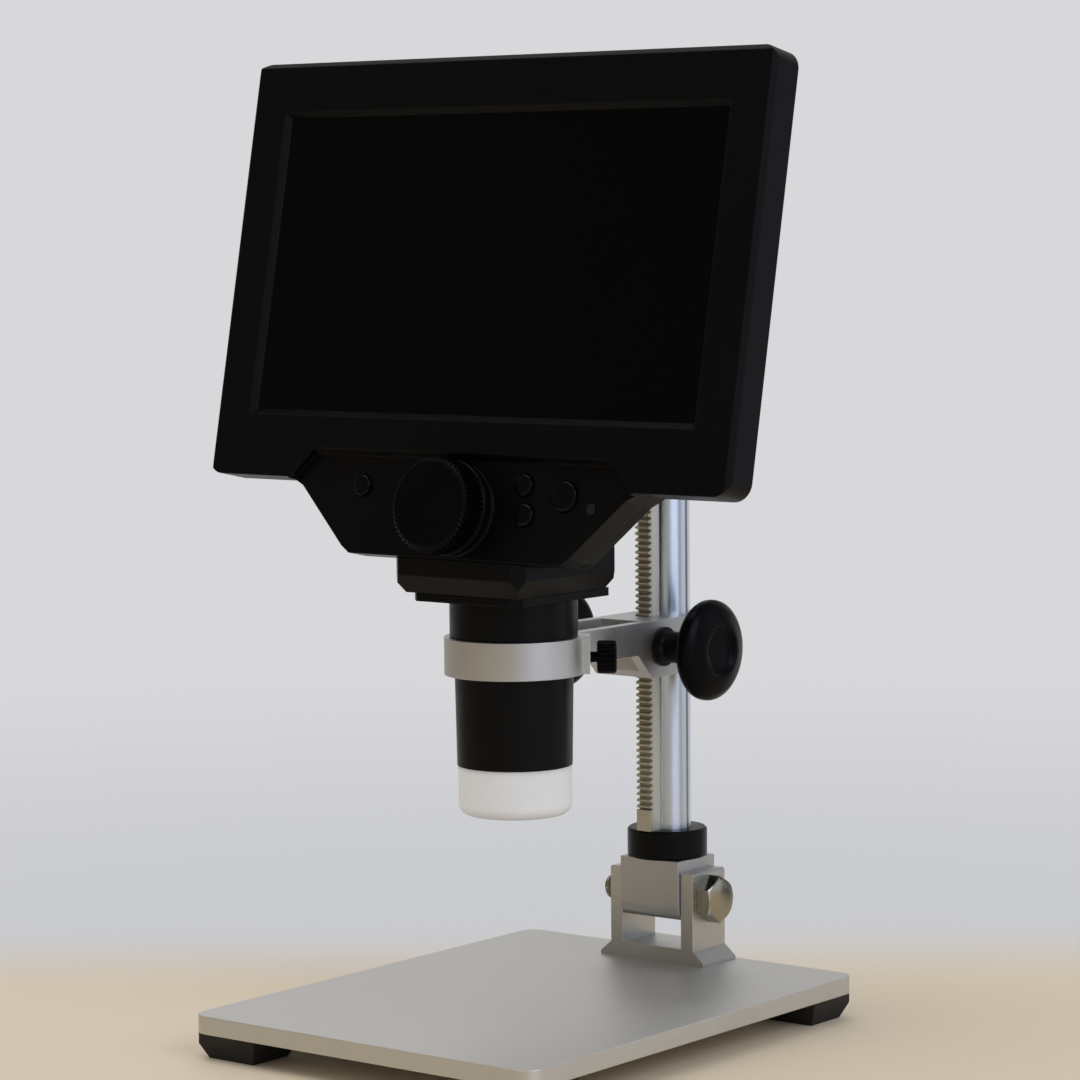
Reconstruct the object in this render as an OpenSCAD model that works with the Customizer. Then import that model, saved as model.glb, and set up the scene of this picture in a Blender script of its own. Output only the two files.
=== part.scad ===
// Digital microscope with a tilted screen head on a rack-and-pinion stand.
// Millimetres. +Z up, front towards -Y, origin on the floor under the middle of the whole stand.

/* [Base] */
// Width of the base plate
base_w = 118; // [100:1:150]
// Depth of the base plate
base_d = 150; // [140:1:180]
// Thickness of the base plate
plate_t = 5; // [4:0.5:8]
// Radius of the plate's upright corners
plate_corner_r = 5; // [2:0.5:8]
// Height of a foot
foot_h = 7.3; // [5:0.1:12]
// Width of a foot where it meets the plate
foot_w = 23; // [18:0.5:30]
// Depth of a foot where it meets the plate
foot_d = 21; // [16:0.5:28]
// How far a foot's sides lean in towards the floor
foot_taper = 3.5; // [1:0.25:4.5]
// Shank radius of the foot screws
foot_screw_r = 1.5; // [1.25:0.25:2]

/* [Hinge bracket] */
// Post axis to the rear edge of the plate
post_setback = 10; // [9.8:0.1:16]
// Depth of the bracket along the base
bracket_d = 16; // [14:0.5:19]
// Thickness of each bracket leg
leg_t = 4.2; // [3:0.1:5]
// Height of the legs above the plate
leg_h = 26.7; // [25:0.1:28]
// Thickness of the web between the legs
web_t = 4.5; // [3:0.25:6]
// How far the sloped skirt stands out beyond each leg
skirt_w = 3.8; // [2:0.2:6]
// Height of the sloped skirt
skirt_h = 4.2; // [2.5:0.1:5]
// Height of the hinge pivot above the plate
pivot_h = 18.7; // [17:0.1:21]
// Width of the hinge block
block_w = 20.6; // [19:0.2:24]
// Depth of the hinge block
block_d = 18; // [16.5:0.5:19]
// Hinge block above the pivot
block_up = 11.3; // [10:0.1:14]
// Hinge block below the pivot
block_down = 6.4; // [5:0.1:6.5]
// Radius of the block's lower edges
block_round = 4.5; // [2:0.25:5]
// Radius of the hinge bolt
bolt_r = 4; // [3:0.25:4.25]
// Hexagon size of the bolt head across the flats
hex_af = 12; // [11:0.5:14]
// Thickness of the bolt head
bolt_head_t = 4.6; // [4:0.1:6.5]
// Length of the bolt's end beyond the left leg
bolt_end_l = 5.8; // [2:0.1:8]
// Shank radius of the screws that hold the bracket
bracket_screw_r = 2; // [1.5:0.25:2.5]
// Distance between the bracket's screws
bracket_screw_gap = 12; // [10.5:0.5:13]

/* [Post] */
// Radius of the post
post_r = 7; // [6.5:0.1:8]
// Length of the post
post_len = 214; // [190:1:240]
// Depth of the socket that holds the post in the hinge block
socket_d = 6; // [4:0.25:6.5]
// Radius of the collar at the foot of the post
collar_r = 11.6; // [10:0.1:13]
// Height of the collar
collar_h = 8.5; // [6:0.25:12]
// Width of the rack
rack_w = 4.8; // [4:0.1:6]
// Tooth tips of the rack to the post axis
rack_reach = 11.6; // [11:0.1:12.5]
// Depth of the groove that holds the rack, from the post's surface
groove_d = 3; // [2:0.1:4]
// Tooth pitch of the rack
rack_pitch = 1.8; // [1.7:0.05:1.9]
// Length of rack without teeth at its lower end
rack_plain = 6.2; // [2:0.1:10]
// Length of rack without teeth at its upper end
rack_end = 5; // [3:0.5:10]
// Thickness of the cap on the post
cap_t = 2.5; // [1.5:0.25:4]

/* [Carriage] */
// Underside of the carriage above the plate
carriage_lift = 84.7; // [60:0.1:130]
// Height of the carriage's rear block
carriage_h = 16.3; // [15:0.1:19]
// Post axis to the barrel axis
reach = 71; // [66:0.5:80]
// Width over the two arms
arm_w = 20; // [19:0.25:22]
// Thickness of each arm
arm_t = 3; // [2.5:0.1:4]
// Height of each arm
arm_h = 9.3; // [8:0.1:10.5]
// Post axis to the front wall of the rear block
block_front = 22.3; // [21.8:0.1:25]
// Post axis to the back of the rear block
block_back = 9.5; // [9:0.1:9.8]
// Wall of the ring that holds the barrel
ring_wall = 2.3; // [2:0.1:3]
// Height of the ring
ring_h = 10.3; // [9.4:0.1:12]
// Angle of the clamp screw around the ring, from the right towards the back
clamp_angle = 38; // [30:1:42]
// Width of the boss that the clamp screw goes through
boss_w = 8; // [6:0.25:10]
// How far the boss stands out from the ring
boss_proud = 1.7; // [1:0.1:3]
// Height of the clamp screw above the ring's lower face
clamp_up = 4.3; // [4:0.1:6]
// Shank radius of the clamp screw
clamp_r = 1.5; // [1.25:0.05:1.6]
// Radius of the clamp screw's head
clamp_head_r = 4.6; // [4:0.1:5]
// Length of the clamp screw's head
clamp_head_l = 5.4; // [4:0.1:8]
// Bare shank between the boss and the clamp screw's head
clamp_neck = 1.9; // [1:0.1:4]
// Number of teeth on the pinion
pinion_teeth = 14; // [14:1:15]
// Width of the pinion
pinion_w = 6; // [5:0.1:6.5]
// Radius of the pinion's shaft
shaft_r = 3; // [2.5:0.05:3.05]
// Radius of the bushes that carry the shaft
bush_r = 5; // [4.9:0.05:5.1]
// Radius of the flange on a bush
bush_flange_r = 5.6; // [5.4:0.1:6.5]
// Thickness of the flange on a bush
bush_flange_t = 1; // [0.6:0.1:1.5]

/* [Drive knobs] */
// Radius of a drive knob
knob_r = 14.3; // [12:0.1:15.5]
// Arm to the inner end of a knob's hub
knob_gap = 3; // [1.8:0.1:4]
// Radius of a knob's hub
knob_hub_r = 4.5; // [4:0.1:5.5]
// Length of a knob's hub
knob_hub_l = 10.2; // [8:0.1:14]
// Thickness of a knob's disc
knob_disc_t = 7.5; // [5:0.1:9]
// Radius of the dish in a knob's face
knob_dish_r = 6.8; // [6:0.1:9]

/* [Barrel and lamp] */
// Radius of the barrel above the ring
barrel_top_r = 17.7; // [17.3:0.1:18.3]
// Radius of the barrel inside the ring
barrel_seat_r = 16.9; // [16.8:0.05:17.1]
// Radius of the barrel under the ring
barrel_mid_r = 16.4; // [16.2:0.05:16.7]
// Radius of the barrel at its lower end
barrel_low_r = 15.95; // [15.8:0.05:16.1]
// Length of the barrel above the ring
barrel_top_l = 10.6; // [8:0.1:14]
// Length of the barrel below the ring
barrel_low_l = 25.2; // [24:0.1:30]
// Bore that guides the lens carrier
guide_r = 13; // [12.8:0.05:13.2]
// Radius of the lamp cap
lamp_r = 15.7; // [15.4:0.05:15.9]
// Height of the lamp cap
lamp_h = 13.8; // [12:0.1:18]
// Radius of the lamp cap's lower edge
lamp_round = 3.2; // [2:0.1:4]
// Wall of the lamp cap
lamp_wall = 1.5; // [1:0.1:2]
// Radius of the hole that the lens looks through
lamp_hole_r = 7; // [6:0.1:8]
// Thickness of the circuit boards
board_t = 1.2; // [0.8:0.1:1.6]
// Number of lamps on the ring board
lamp_count = 8; // [6:1:10]
// Radius of the circle that the lamps sit on
lamp_circle_r = 10.7; // [10.3:0.1:10.9]

/* [Lens carrier] */
// Radius of the carrier's nose
nose_r = 7.5; // [7:0.1:8]
// Radius of the objective lens
lens_r = 5.5; // [4.5:0.1:6]
// Travel of the carrier each way
focus_travel = 4; // [2:0.25:4]
// Tooth pitch of the focus rack
focus_pitch = 1.5; // [1.4:0.02:1.6]
// Number of teeth on the focus pinion
focus_teeth = 12; // [12:1:13]

/* [Neck] */
// Width of the neck
neck_w = 45; // [42:0.5:52]
// Barrel axis to the front of the neck
neck_front = 26; // [24:0.25:26.5]
// Barrel axis to the back of the neck
neck_back = 19.5; // [19:0.25:24]
// Bevel of the neck's upright corners
neck_corner = 3; // [2:0.25:4]
// Bevel along the neck's lower edges
neck_bevel = 3.2; // [2:0.1:4]
// Height of that bevel
neck_bevel_h = 5; // [3:0.25:7]
// Wall of the neck
neck_wall = 2; // [1.5:0.1:2.5]
// Thickness of the plate between neck and barrel
step_t = 2.3; // [1.5:0.1:4]
// Set-back of that plate from the neck's front and sides
step_inset = 3.5; // [3.3:0.1:4.5]
// Set-back of that plate from the neck's back
step_back = 1.2; // [0.5:0.1:1.5]

/* [Screen head] */
// Width of the screen head
head_w = 180; // [170:1:200]
// Height of the screen head without its chin
head_h = 118; // [112:1:126]
// Backward lean of the screen
tilt = 11.5; // [9:0.25:14]
// Underside of the neck to the middle of the screen face
face_rise = 88.2; // [86:0.1:92]
// Barrel axis to the middle of the screen face
face_lead = 13.6; // [13:0.1:15]
// Radius of the head's corners
head_corner_r = 5; // [3:0.25:8]
// Bevel of the front edge
edge_bevel = 1.5; // [1:0.1:2]
// Depth of the front cover
front_depth = 10.3; // [10:0.1:12]
// Depth of the rear cover
rear_depth = 10.7; // [10:0.1:14]
// Slope of the rear cover, across
rear_slope_x = 14; // [11:0.5:20]
// Slope of the rear cover, up and down
rear_slope_v = 10; // [8:0.5:12]
// Set-back of the rear cover's chin from the front cover's
seam = 0.4; // [0.2:0.1:0.8]
// Wall of both covers
skin = 2; // [1.6:0.1:2.2]
// Width of the opening in front of the screen
window_w = 154.6; // [146:0.2:156]
// Height of the opening in front of the screen
window_h = 86.4; // [82:0.2:87]
// Screen centre above the head's centre
window_up = 1.5; // [0.5:0.1:2]
// Slope of the frame around the screen
window_slope = 1.8; // [1:0.1:2]
// Width that the window pane and the screen module reach beyond the opening
pane_lap = 2.6; // [2.3:0.1:3]
// Thickness of the window pane
pane_t = 1; // [0.7:0.1:1.3]
// Thickness of the screen module
lcd_t = 3; // [2.5:0.1:3.4]

/* [Chin and controls] */
// Width of the chin where it leaves the head
chin_top_w = 114; // [108:1:122]
// Width of the chin at its lower edge
chin_low_w = 77; // [72:0.5:84]
// Height of the chin
chin_h = 20; // [19.6:0.1:24]
// How deep the control face lies behind the head's face
chin_recess = 2.5; // [2:0.1:2.6]
// Head's lower edge to the top of the control face
chin_top = 8.4; // [8.3:0.1:9]
// Height of the slope above the control face
chin_slope = 1.4; // [1:0.1:1.5]
// Depth of the chin behind the head's face
chin_depth = 15; // [14:0.1:16]
// Focus wheel axis below the head's lower edge
wheel_drop = 6.5; // [6.4:0.05:6.6]
// Radius of the focus wheel
wheel_r = 13; // [12:0.1:13.2]
// Thickness of the focus wheel
wheel_t = 11; // [8:0.1:14]
// Teeth around the focus wheel
wheel_teeth = 42; // [36:1:48]
// Radius of the focus wheel's shaft
focus_shaft_r = 2; // [1.8:0.05:2.1]
// Radius of the bush flange behind the wheel
focus_flange_r = 13.3; // [12.8:0.1:13.4]
// Thickness of the bush flange behind the wheel
focus_flange_t = 1.2; // [0.8:0.1:1.5]
// Radius of the small buttons
button_r = 3; // [2.4:0.1:3.3]
// Radius of the large button
ok_r = 4.1; // [3.6:0.1:4.4]
// Height of a button above the control face
button_up = 1.2; // [0.8:0.1:1.6]
// Travel of a button
button_travel = 0.5; // [0.3:0.05:0.6]
// Radius of the status light
light_r = 1.5; // [1:0.1:2]

/* [Inside the head] */
// Width of the main board
board_w = 134; // [130:1:136]
// Height of the main board
board_h = 60; // [52:1:64]
// Width of the battery
battery_w = 62; // [50:1:70]
// Height of the battery
battery_h = 44; // [36:1:46]
// Thickness of the battery
battery_t = 6; // [5:0.1:6.4]
// Width of the charging socket
socket_w = 9; // [8.5:0.1:9.5]
// Height of the charging socket
socket_t = 3.2; // [3:0.05:3.3]
// Width of the memory card slot
slot_w = 12; // [11.5:0.1:13]
// Height of the memory card slot
slot_t = 1.6; // [1.4:0.1:2]
// Shank radius of the small screws
screw_r = 1; // [0.8:0.05:1.1]

/* [Fits] */
// Gap around a shaft or a slide that runs
run = 0.05; // [0.02:0.01:0.08]
// Gap around a piece that is pressed in
press = 0.02; // [0.01:0.01:0.03]
// Gap between pieces that pass each other
pass = 0.3; // [0.25:0.05:0.4]
// Side play of the hinge block between its legs
side_play = 0.2; // [0.1:0.05:0.3]

/* [Hidden] */
$fn = 64;

pressure = 20; // flank angle of every tooth
lead_in = 0.6; // small bevel on turned pieces
neck_thread = 6; // depth of the neck screws' holes in the barrel
beyond = 30; // overrun past the front of the head
board_inset = 10; // room beside the button board
cut = 1; // overrun of cuts past a face
hex_r = hex_af / 2 / cos(30);

// heights and places of the stand
plate_top = foot_h + plate_t;
plate_y = -max(0, collar_r - post_setback) / 2;
post_y = plate_y + base_d / 2 - post_setback;
pivot_z = plate_top + pivot_h;
block_top = pivot_z + block_up;
leg_in = block_w / 2 + side_play;
leg_out = leg_in + leg_t;
post_foot = block_top - socket_d;
post_top = post_foot + post_len;
collar_top = block_top + collar_h;

// rack and pinion of the stand
tooth_tip = 0.8 * rack_pitch / PI;
tooth_root = 1.92 * rack_pitch / PI;
backlash = 0.12;
button_play = 0.15;
rib_depth = 0.7;
light_proud = 0.2;
wheel_front_t = 3;
pinion_r = pinion_teeth * rack_pitch / (2 * PI);
rack_line = rack_reach - tooth_tip;
rack_back = rack_line - (post_r - groove_d) - press;
rack_z0 = collar_top + rack_plain;
rack_n = floor((post_top - rack_end - rack_z0) / rack_pitch);
shaft_y = post_y - rack_line - pinion_r;

// carriage
carriage_z = plate_top + carriage_lift;
carriage_top = carriage_z + carriage_h;
shaft_z = carriage_z + 8.6;
barrel_y = post_y - reach;
ring_r = barrel_seat_r + run;
ring_out = ring_r + ring_wall;
ring_z = carriage_top - ring_h;
arm_z = carriage_top - arm_h;
arm_in = arm_w / 2 - arm_t;
block_front_y = post_y - block_front;
block_back_y = post_y + block_back;
clamp_z = ring_z + clamp_up;
boss_out = ring_out + boss_proud;
clamp_head_x = boss_out + clamp_neck;
rack_play = 0.35;
knob_x = arm_w / 2 + knob_gap;
knob_disc_x = knob_x + knob_hub_l;
shaft_end = knob_disc_x;
brake_r = 1.5;

// barrel, lamp and lens
barrel_top = carriage_top + 0.1 + barrel_top_l;
barrel_low = ring_z - barrel_low_l;
board_z = barrel_low + 2.4;
lamp_board_r = barrel_low_r - 1.4;
guide_z = board_z + board_t + 6.6;
lamp_low = barrel_low - lamp_h;
carrier_low = guide_z + focus_travel;
carrier_top = barrel_top - focus_travel;
nose_low = board_z - 4.2;
lamp_size = [2.8, 2.8, 1.2];

// neck
step_z = barrel_top;
neck_z = step_z + step_t;
neck_floor = neck_z + neck_wall;
neck_front_y = barrel_y - neck_front;
neck_back_y = barrel_y + neck_back;
neck_top_z = neck_z + 46;
hump_z = neck_z + 80;
sensor_up = 33.7;
sensor_z = neck_z + sensor_up;
pass_w = neck_w - 2 * neck_wall - 2;
sensor_front = 11;
sensor_back = 12;
sensor_w = 9;
sensor_t = 1.2;
neck_screw_r = (guide_r + barrel_top_r) / 2;

// screen head: X across, V up the face, W out of the face
face_y = barrel_y - face_lead;
face_z = neck_z + face_rise;
chin_low = -head_h / 2 - chin_h;
head_depth = front_depth + rear_depth;
wheel_v = -head_h / 2 - wheel_drop;
control_w = -chin_recess;
chin_inner_w = control_w - skin;
pane_w = -skin;
lcd_w = pane_w - pane_t;
mainboard_w = -front_depth + 0.9;
mainboard_x = -head_w / 2 + skin + 3 + board_w / 2;
battery_w0 = mainboard_w - board_t - 0.6;
cover_screw_x = head_w / 2 - 12;
cover_screw_v = head_h / 2 - 6.5;
boss_r = 2.4;
screw_floor = -front_depth - 1.4;
switch_t = 0.8;
button_back = -front_depth + 2.6;
button_flange = 0.7;
button_lip = 0.8;
POWER = [-34, -60.2];
UP = [22.2, -58];
DOWN = [23.5, -66];
OK = [36.2, -60.5];
LIGHT = [45.2, -63.5];
socket_v = 12;
slot_v = -8;

// focus rack and pinion
focus_r = focus_teeth * focus_pitch / (2 * PI);
focus_tip = 0.8 * focus_pitch / PI;
focus_root = 1.3 * focus_pitch / PI;
focus_rack_x = focus_r - focus_tip;
focus_rack_out = 6.2;
focus_rack_y = [barrel_y - 11, barrel_y - 7];
focus_mid_w = -18.1;
focus_pinion_t = 3.8;
focus_shaft_in = focus_mid_w - focus_pinion_t / 2;
wheel_w = control_w + focus_flange_t + pass;
focus_contact_z = face_z + wheel_v * cos(tilt) + focus_mid_w * sin(tilt);
focus_rack_half = focus_travel + 3.2;

// ---- shapes used again and again ----

// Flat outline with four round corners
module round_rect(w, d, r) {
    square([w - 2 * r, d], center = true);
    square([w, d - 2 * r], center = true);
    for (x = [-1, 1], y = [-1, 1])
        translate([x * (w / 2 - r), y * (d / 2 - r)]) circle(r);
}

// Flat outline in Y and Z, drawn out along X about the middle
module along_x(length) rotate([90, 0, 90]) linear_extrude(length, center = true) children();

// Flat outline in X and Z, drawn out along Y about the middle
module along_y(length) rotate([90, 0, 0]) linear_extrude(length, center = true) children();

// Rod along X from one place to another
module rod_x(r, from, to) translate([from, 0, 0]) rotate([0, 90, 0]) cylinder(r = r, h = to - from);

// Rod along Y from one place to another
module rod_y(r, from, to) translate([0, to, 0]) rotate([90, 0, 0]) cylinder(r = r, h = to - from);

// Upright rod between two heights
module rod_z(r, from, to) translate([0, 0, from]) cylinder(r = r, h = to - from);

// Box from its low corner to its high corner
module span(low, high) translate(low) cube(high - low);

// Box whose top and bottom differ, from z = 0 down to z = -depth
module taper_box(top, bottom, depth) {
    intersection() {
        along_y(max(top[1], bottom[1]) + 2 * cut)
            polygon([[-top[0] / 2, 0], [top[0] / 2, 0], [bottom[0] / 2, -depth], [-bottom[0] / 2, -depth]]);
        along_x(max(top[0], bottom[0]) + 2 * cut)
            polygon([[-top[1] / 2, 0], [top[1] / 2, 0], [bottom[1] / 2, -depth], [-bottom[1] / 2, -depth]]);
    }
}

// Children in the frame of the screen face
module on_face() translate([0, face_y, face_z]) rotate([90 - tilt, 0, 0]) children();

// Children around the barrel axis
module on_barrel() translate([0, barrel_y, 0]) children();

// Outline of a toothed bar: teeth point to +Y, pitch line on Y = 0
function rack_outline(n, pitch, tip, root, back) =
    let (half = pitch / 4 - backlash / 4, lean = tan(pressure))
    concat([[0, -back], [0, -root]],
        [for (i = [0:n - 1]) each let (c = (i + 0.5) * pitch) [
            [c - half - root * lean, -root], [c - half + tip * lean, tip],
            [c + half - tip * lean, tip], [c + half + root * lean, -root]]],
        [[n * pitch, -root], [n * pitch, -back]]);

// The outline of a toothed bar with a plain length at each end
function plain_ends(outline, low, high, tip, back) =
    let (last = len(outline) - 1, end = outline[last][0])
    concat([[-low, -back], [-low, tip], [0, tip]], [for (i = [1:last - 1]) outline[i]],
        [[end, tip], [end + high, tip], [end + high, -back]]);

// Roll angle of an involute at radius r, in degrees
function involute(r, base) = sqrt(pow(r / base, 2) - 1) * 180 / PI - acos(base / r);

// Outline of a pinion whose first tooth points along +X
function pinion_outline(n, pitch, tip, root) =
    let (r = n * pitch / (2 * PI), base = r * cos(pressure),
        half = 90 / n - backlash / 4 / r * 180 / PI,
        steps = 4,
        radii = [for (i = [0:steps]) base + (r + tip - base) * i / steps],
        lean = [for (q = radii) half + involute(r, base) - involute(q, base)])
    [for (k = [0:n - 1]) each concat(
        [(r - root) * [cos(k * 360 / n - lean[0]), sin(k * 360 / n - lean[0])]],
        [for (i = [0:steps]) radii[i] * [cos(k * 360 / n - lean[i]), sin(k * 360 / n - lean[i])]],
        [for (i = [steps:-1:0]) radii[i] * [cos(k * 360 / n + lean[i]), sin(k * 360 / n + lean[i])]],
        [(r - root) * [cos(k * 360 / n + lean[0]), sin(k * 360 / n + lean[0])]])];

// Turn that brings a pinion into mesh with a tooth at distance off along the rack
function mesh_turn(off, r, n) = off / r * 180 / PI + 180 / n;

// Places of the feet
module at_feet() for (x = [-1, 1], y = [-1, 1])
    translate([x * (base_w - foot_w) / 2, plate_y + y * (base_d - foot_d) / 2, 0]) children();

// Places of the bracket screws
module at_bracket_screws() for (x = [-1, 1])
    translate([x * bracket_screw_gap / 2, post_y, 0]) children();

// Places of the cover screws on the face
module at_cover_screws() for (x = [-1, 1], v = [-1, 1])
    translate([x * cover_screw_x, v * cover_screw_v, 0]) children();

// Places of the screws that join neck, step plate and barrel
module at_neck_screws() on_barrel() for (a = [45:90:315])
    rotate(a) translate([neck_screw_r, 0, 0]) children();

// ---- base ----

module base_plate() color("silver") difference() {
    translate([0, 0, foot_h]) linear_extrude(plate_t) plate_outline();
    at_feet() rod_z(foot_screw_r + press, foot_h - cut, plate_top - 1.5);
    at_bracket_screws() {
        rod_z(bracket_screw_r + press, foot_h - cut, plate_top + cut);
        rod_z(2 * bracket_screw_r, foot_h - cut, foot_h + 2);
    }
}

// Plate from above
module plate_outline() translate([0, plate_y]) round_rect(base_w, base_d, plate_corner_r);

module base_feet() color([0.07, 0.07, 0.07]) intersection() {
    linear_extrude(foot_h) plate_outline();
    at_feet() difference() {
        translate([0, 0, foot_h]) taper_box([foot_w, foot_d],
            [foot_w - 2 * foot_taper, foot_d - 2 * foot_taper], foot_h);
        rod_z(foot_screw_r + press, -cut, foot_h + cut);
        rod_z(2 * foot_screw_r, -cut, foot_h / 2);
    }
}

module foot_screws() color("dimgray") at_feet() {
    rod_z(foot_screw_r, foot_h / 2 - 1, plate_top - 2);
    rod_z(2 * foot_screw_r - press, foot_h / 2 - 1.6, foot_h / 2);
}

// ---- hinge bracket ----

module post_bracket() color("silver") difference() {
    translate([0, post_y, plate_top]) along_y(bracket_d) bracket_outline();
    translate([0, post_y, pivot_z]) rod_x(bolt_r + run, -leg_out - cut, leg_out + cut);
    at_bracket_screws() rod_z(bracket_screw_r + press, plate_top - cut, plate_top + web_t - 1);
}

module bracket_outline() polygon([
    [-leg_out - skirt_w, 0], [leg_out + skirt_w, 0], [leg_out + skirt_w, 1], [leg_out, skirt_h],
    [leg_out, leg_h - lead_in], [leg_out - lead_in, leg_h], [leg_in, leg_h], [leg_in, web_t],
    [-leg_in, web_t], [-leg_in, leg_h], [-leg_out + lead_in, leg_h], [-leg_out, leg_h - lead_in],
    [-leg_out, skirt_h], [-leg_out - skirt_w, 1]]);

module bracket_screws() color("dimgray") at_bracket_screws() {
    rod_z(bracket_screw_r, foot_h + 1, plate_top + web_t - 1.4);
    rod_z(2 * bracket_screw_r - press, foot_h + 0.4, foot_h + 2);
}

module hinge_bolt() color("gainsboro") translate([0, post_y, pivot_z]) {
    rod_x(bolt_r, -leg_out - bolt_end_l, leg_out + cut);
    rotate([0, 90, 0]) translate([0, 0, leg_out]) cylinder(r = hex_r, h = bolt_head_t, $fn = 6);
}

// ---- post ----

module hinge_block() color("silver") difference() {
    translate([0, post_y, pivot_z]) along_x(block_w) block_outline();
    translate([0, post_y, pivot_z]) rod_x(bolt_r + run, -block_w, block_w);
    translate([0, post_y, 0]) rod_z(post_r + press, post_foot, block_top + cut);
}

// Side view of the hinge block: square above, round below, pivot at the origin
module block_outline() {
    translate([-block_d / 2, block_round - block_down])
        square([block_d, block_up + block_down - block_round]);
    translate([block_round - block_d / 2, -block_down]) square([block_d - 2 * block_round, block_round]);
    for (s = [-1, 1]) translate([s * (block_d / 2 - block_round), block_round - block_down])
        circle(block_round);
}

module post_collar() color([0.08, 0.08, 0.08]) translate([0, post_y, 0]) difference() {
    rotate_extrude() polygon([[0, block_top], [collar_r - lead_in, block_top],
        [collar_r, block_top + lead_in], [collar_r, collar_top - lead_in],
        [collar_r - lead_in, collar_top], [0, collar_top]]);
    rod_z(post_r + press, block_top - cut, collar_top + cut);
}

module post_column() color("gainsboro") translate([0, post_y, 0]) difference() {
    rod_z(post_r, post_foot, post_top);
    span([-rack_w / 2, -post_r - cut, collar_top], [rack_w / 2, groove_d - post_r, post_top + cut]);
    rod_z(post_r / 2 + press - 0.5, post_top - cap_t, post_top + cut);
}

module gear_rack() color("lightgray")
    translate([0, post_y - rack_line, 0]) along_x(rack_w) translate([0, rack_z0]) rotate(90)
        polygon(plain_ends(rack_outline(rack_n, rack_pitch, tooth_tip, tooth_root, rack_back),
            rack_plain, post_top - rack_z0 - rack_n * rack_pitch, tooth_tip, rack_back));

module post_cap() color([0.08, 0.08, 0.08]) translate([0, post_y, 0]) {
    rod_z(post_r / 2 - 0.5, post_top - cap_t + lead_in, post_top + cap_t / 2);
    rod_z(post_r, post_top, post_top + cap_t);
}

// ---- carriage ----

module carriage() color("silver") difference() {
    union() {
        along_x(arm_w) carriage_side();
        on_barrel() rod_z(ring_out, ring_z, carriage_top);
        on_clamp() span([0, -boss_w / 2, ring_z - clamp_z],
            [boss_out, boss_w / 2, carriage_top - clamp_z]);
    }
    on_barrel() rod_z(ring_r, carriage_z - cut, carriage_top + cut);
    span([-arm_in, barrel_y, carriage_z - cut], [arm_in, block_front_y, carriage_top + cut]);
    translate([0, post_y, 0]) rod_z(post_r + run, carriage_z - cut, carriage_top + cut);
    span([-rack_w / 2 - rack_play, post_y - rack_reach - rack_play, carriage_z - cut],
        [rack_w / 2 + rack_play, post_y, carriage_top + cut]);
    translate([0, shaft_y, shaft_z]) rod_x(bush_r + press, -arm_w, arm_w);
    on_clamp() rod_x(clamp_r + run, ring_r - cut, boss_out + cut);
    translate([0, 0, shaft_z]) rod_y(brake_r + press, post_y + post_r - cut, block_back_y + cut);
}

// Along the clamp screw, from the barrel axis outwards
module on_clamp() translate([0, barrel_y, clamp_z]) rotate([0, 0, clamp_angle]) children();

// Side view of the carriage: rear block, sloped step and arm
module carriage_side() polygon([
    [barrel_y, arm_z], [block_front_y - 4.8, arm_z], [block_front_y + 1.8, carriage_z],
    [block_back_y, carriage_z], [block_back_y, carriage_top], [barrel_y, carriage_top]]);

module shaft_bushes() color([0.1, 0.1, 0.1]) translate([0, shaft_y, shaft_z])
    for (s = [0, 180]) rotate([0, 0, s]) difference() {
        union() {
            rod_x(bush_r, pinion_w / 2 + pass, arm_w / 2 + bush_flange_t / 2);
            rod_x(bush_flange_r, arm_w / 2, arm_w / 2 + bush_flange_t);
        }
        rod_x(shaft_r + run, 0, arm_w);
    }

module brake_pad() color("ivory") translate([0, 0, shaft_z])
    rod_y(brake_r, post_y + post_r + pass, block_back_y - 1.4);

module brake_screw() color("dimgray") translate([0, 0, shaft_z]) difference() {
    rod_y(brake_r, block_back_y - 1.4, block_back_y);
    rod_y(brake_r / 2, block_back_y - 1, block_back_y + cut);
}

module pinion_shaft() color("lightgray") translate([0, shaft_y, shaft_z]) {
    rod_x(shaft_r, -shaft_end, shaft_end);
    along_x(pinion_w) rotate(mesh_turn(rack_z0 + rack_pitch / 2 - shaft_z, pinion_r, pinion_teeth))
        polygon(pinion_outline(pinion_teeth, rack_pitch, rack_pitch / PI, tooth_tip + 0.14));
}

// Right-hand drive knob, turned about X
module knob_shape() rotate([90, 0, 90]) difference() {
    rotate_extrude() polygon([
        [0, knob_x + lead_in], [knob_hub_r - lead_in, knob_x], [knob_hub_r, knob_x + lead_in],
        [knob_hub_r, knob_disc_x - 1.6], [knob_hub_r + 1.6, knob_disc_x],
        for (c = [[1.6, 0.07], [0.4, 0.17], [0, 0.3], [0, 0.52], [0.5, 0.67], [1.8, 0.79]])
            [knob_r - c[0], knob_disc_x + c[1] * knob_disc_t],
        [knob_dish_r + 3, knob_disc_x + 0.93 * knob_disc_t],
        [knob_dish_r + 1, knob_disc_x + knob_disc_t], [knob_dish_r, knob_disc_x + knob_disc_t - 0.3],
        [knob_dish_r - 1.4, knob_disc_x + knob_disc_t - 1.5], [0, knob_disc_x + knob_disc_t - 1.9]]);
    translate([0, 0, knob_x - cut]) cylinder(r = shaft_r + press, h = shaft_end - knob_x + cut);
}

module knob_right() color([0.08, 0.08, 0.08]) translate([0, shaft_y, shaft_z]) knob_shape();

module knob_left() color([0.08, 0.08, 0.08]) translate([0, shaft_y, shaft_z])
    mirror([1, 0, 0]) knob_shape();

module clamp_thumbscrew() color([0.08, 0.08, 0.08]) on_clamp() {
    rod_x(clamp_r, barrel_seat_r + 2 * run, clamp_head_x + cut);
    rotate([90, 0, 90]) translate([0, 0, clamp_head_x]) linear_extrude(clamp_head_l)
        for (a = [0:30:60]) rotate(a) circle(clamp_head_r, $fn = 4);
}

// ---- barrel, lamp and lens ----

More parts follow.
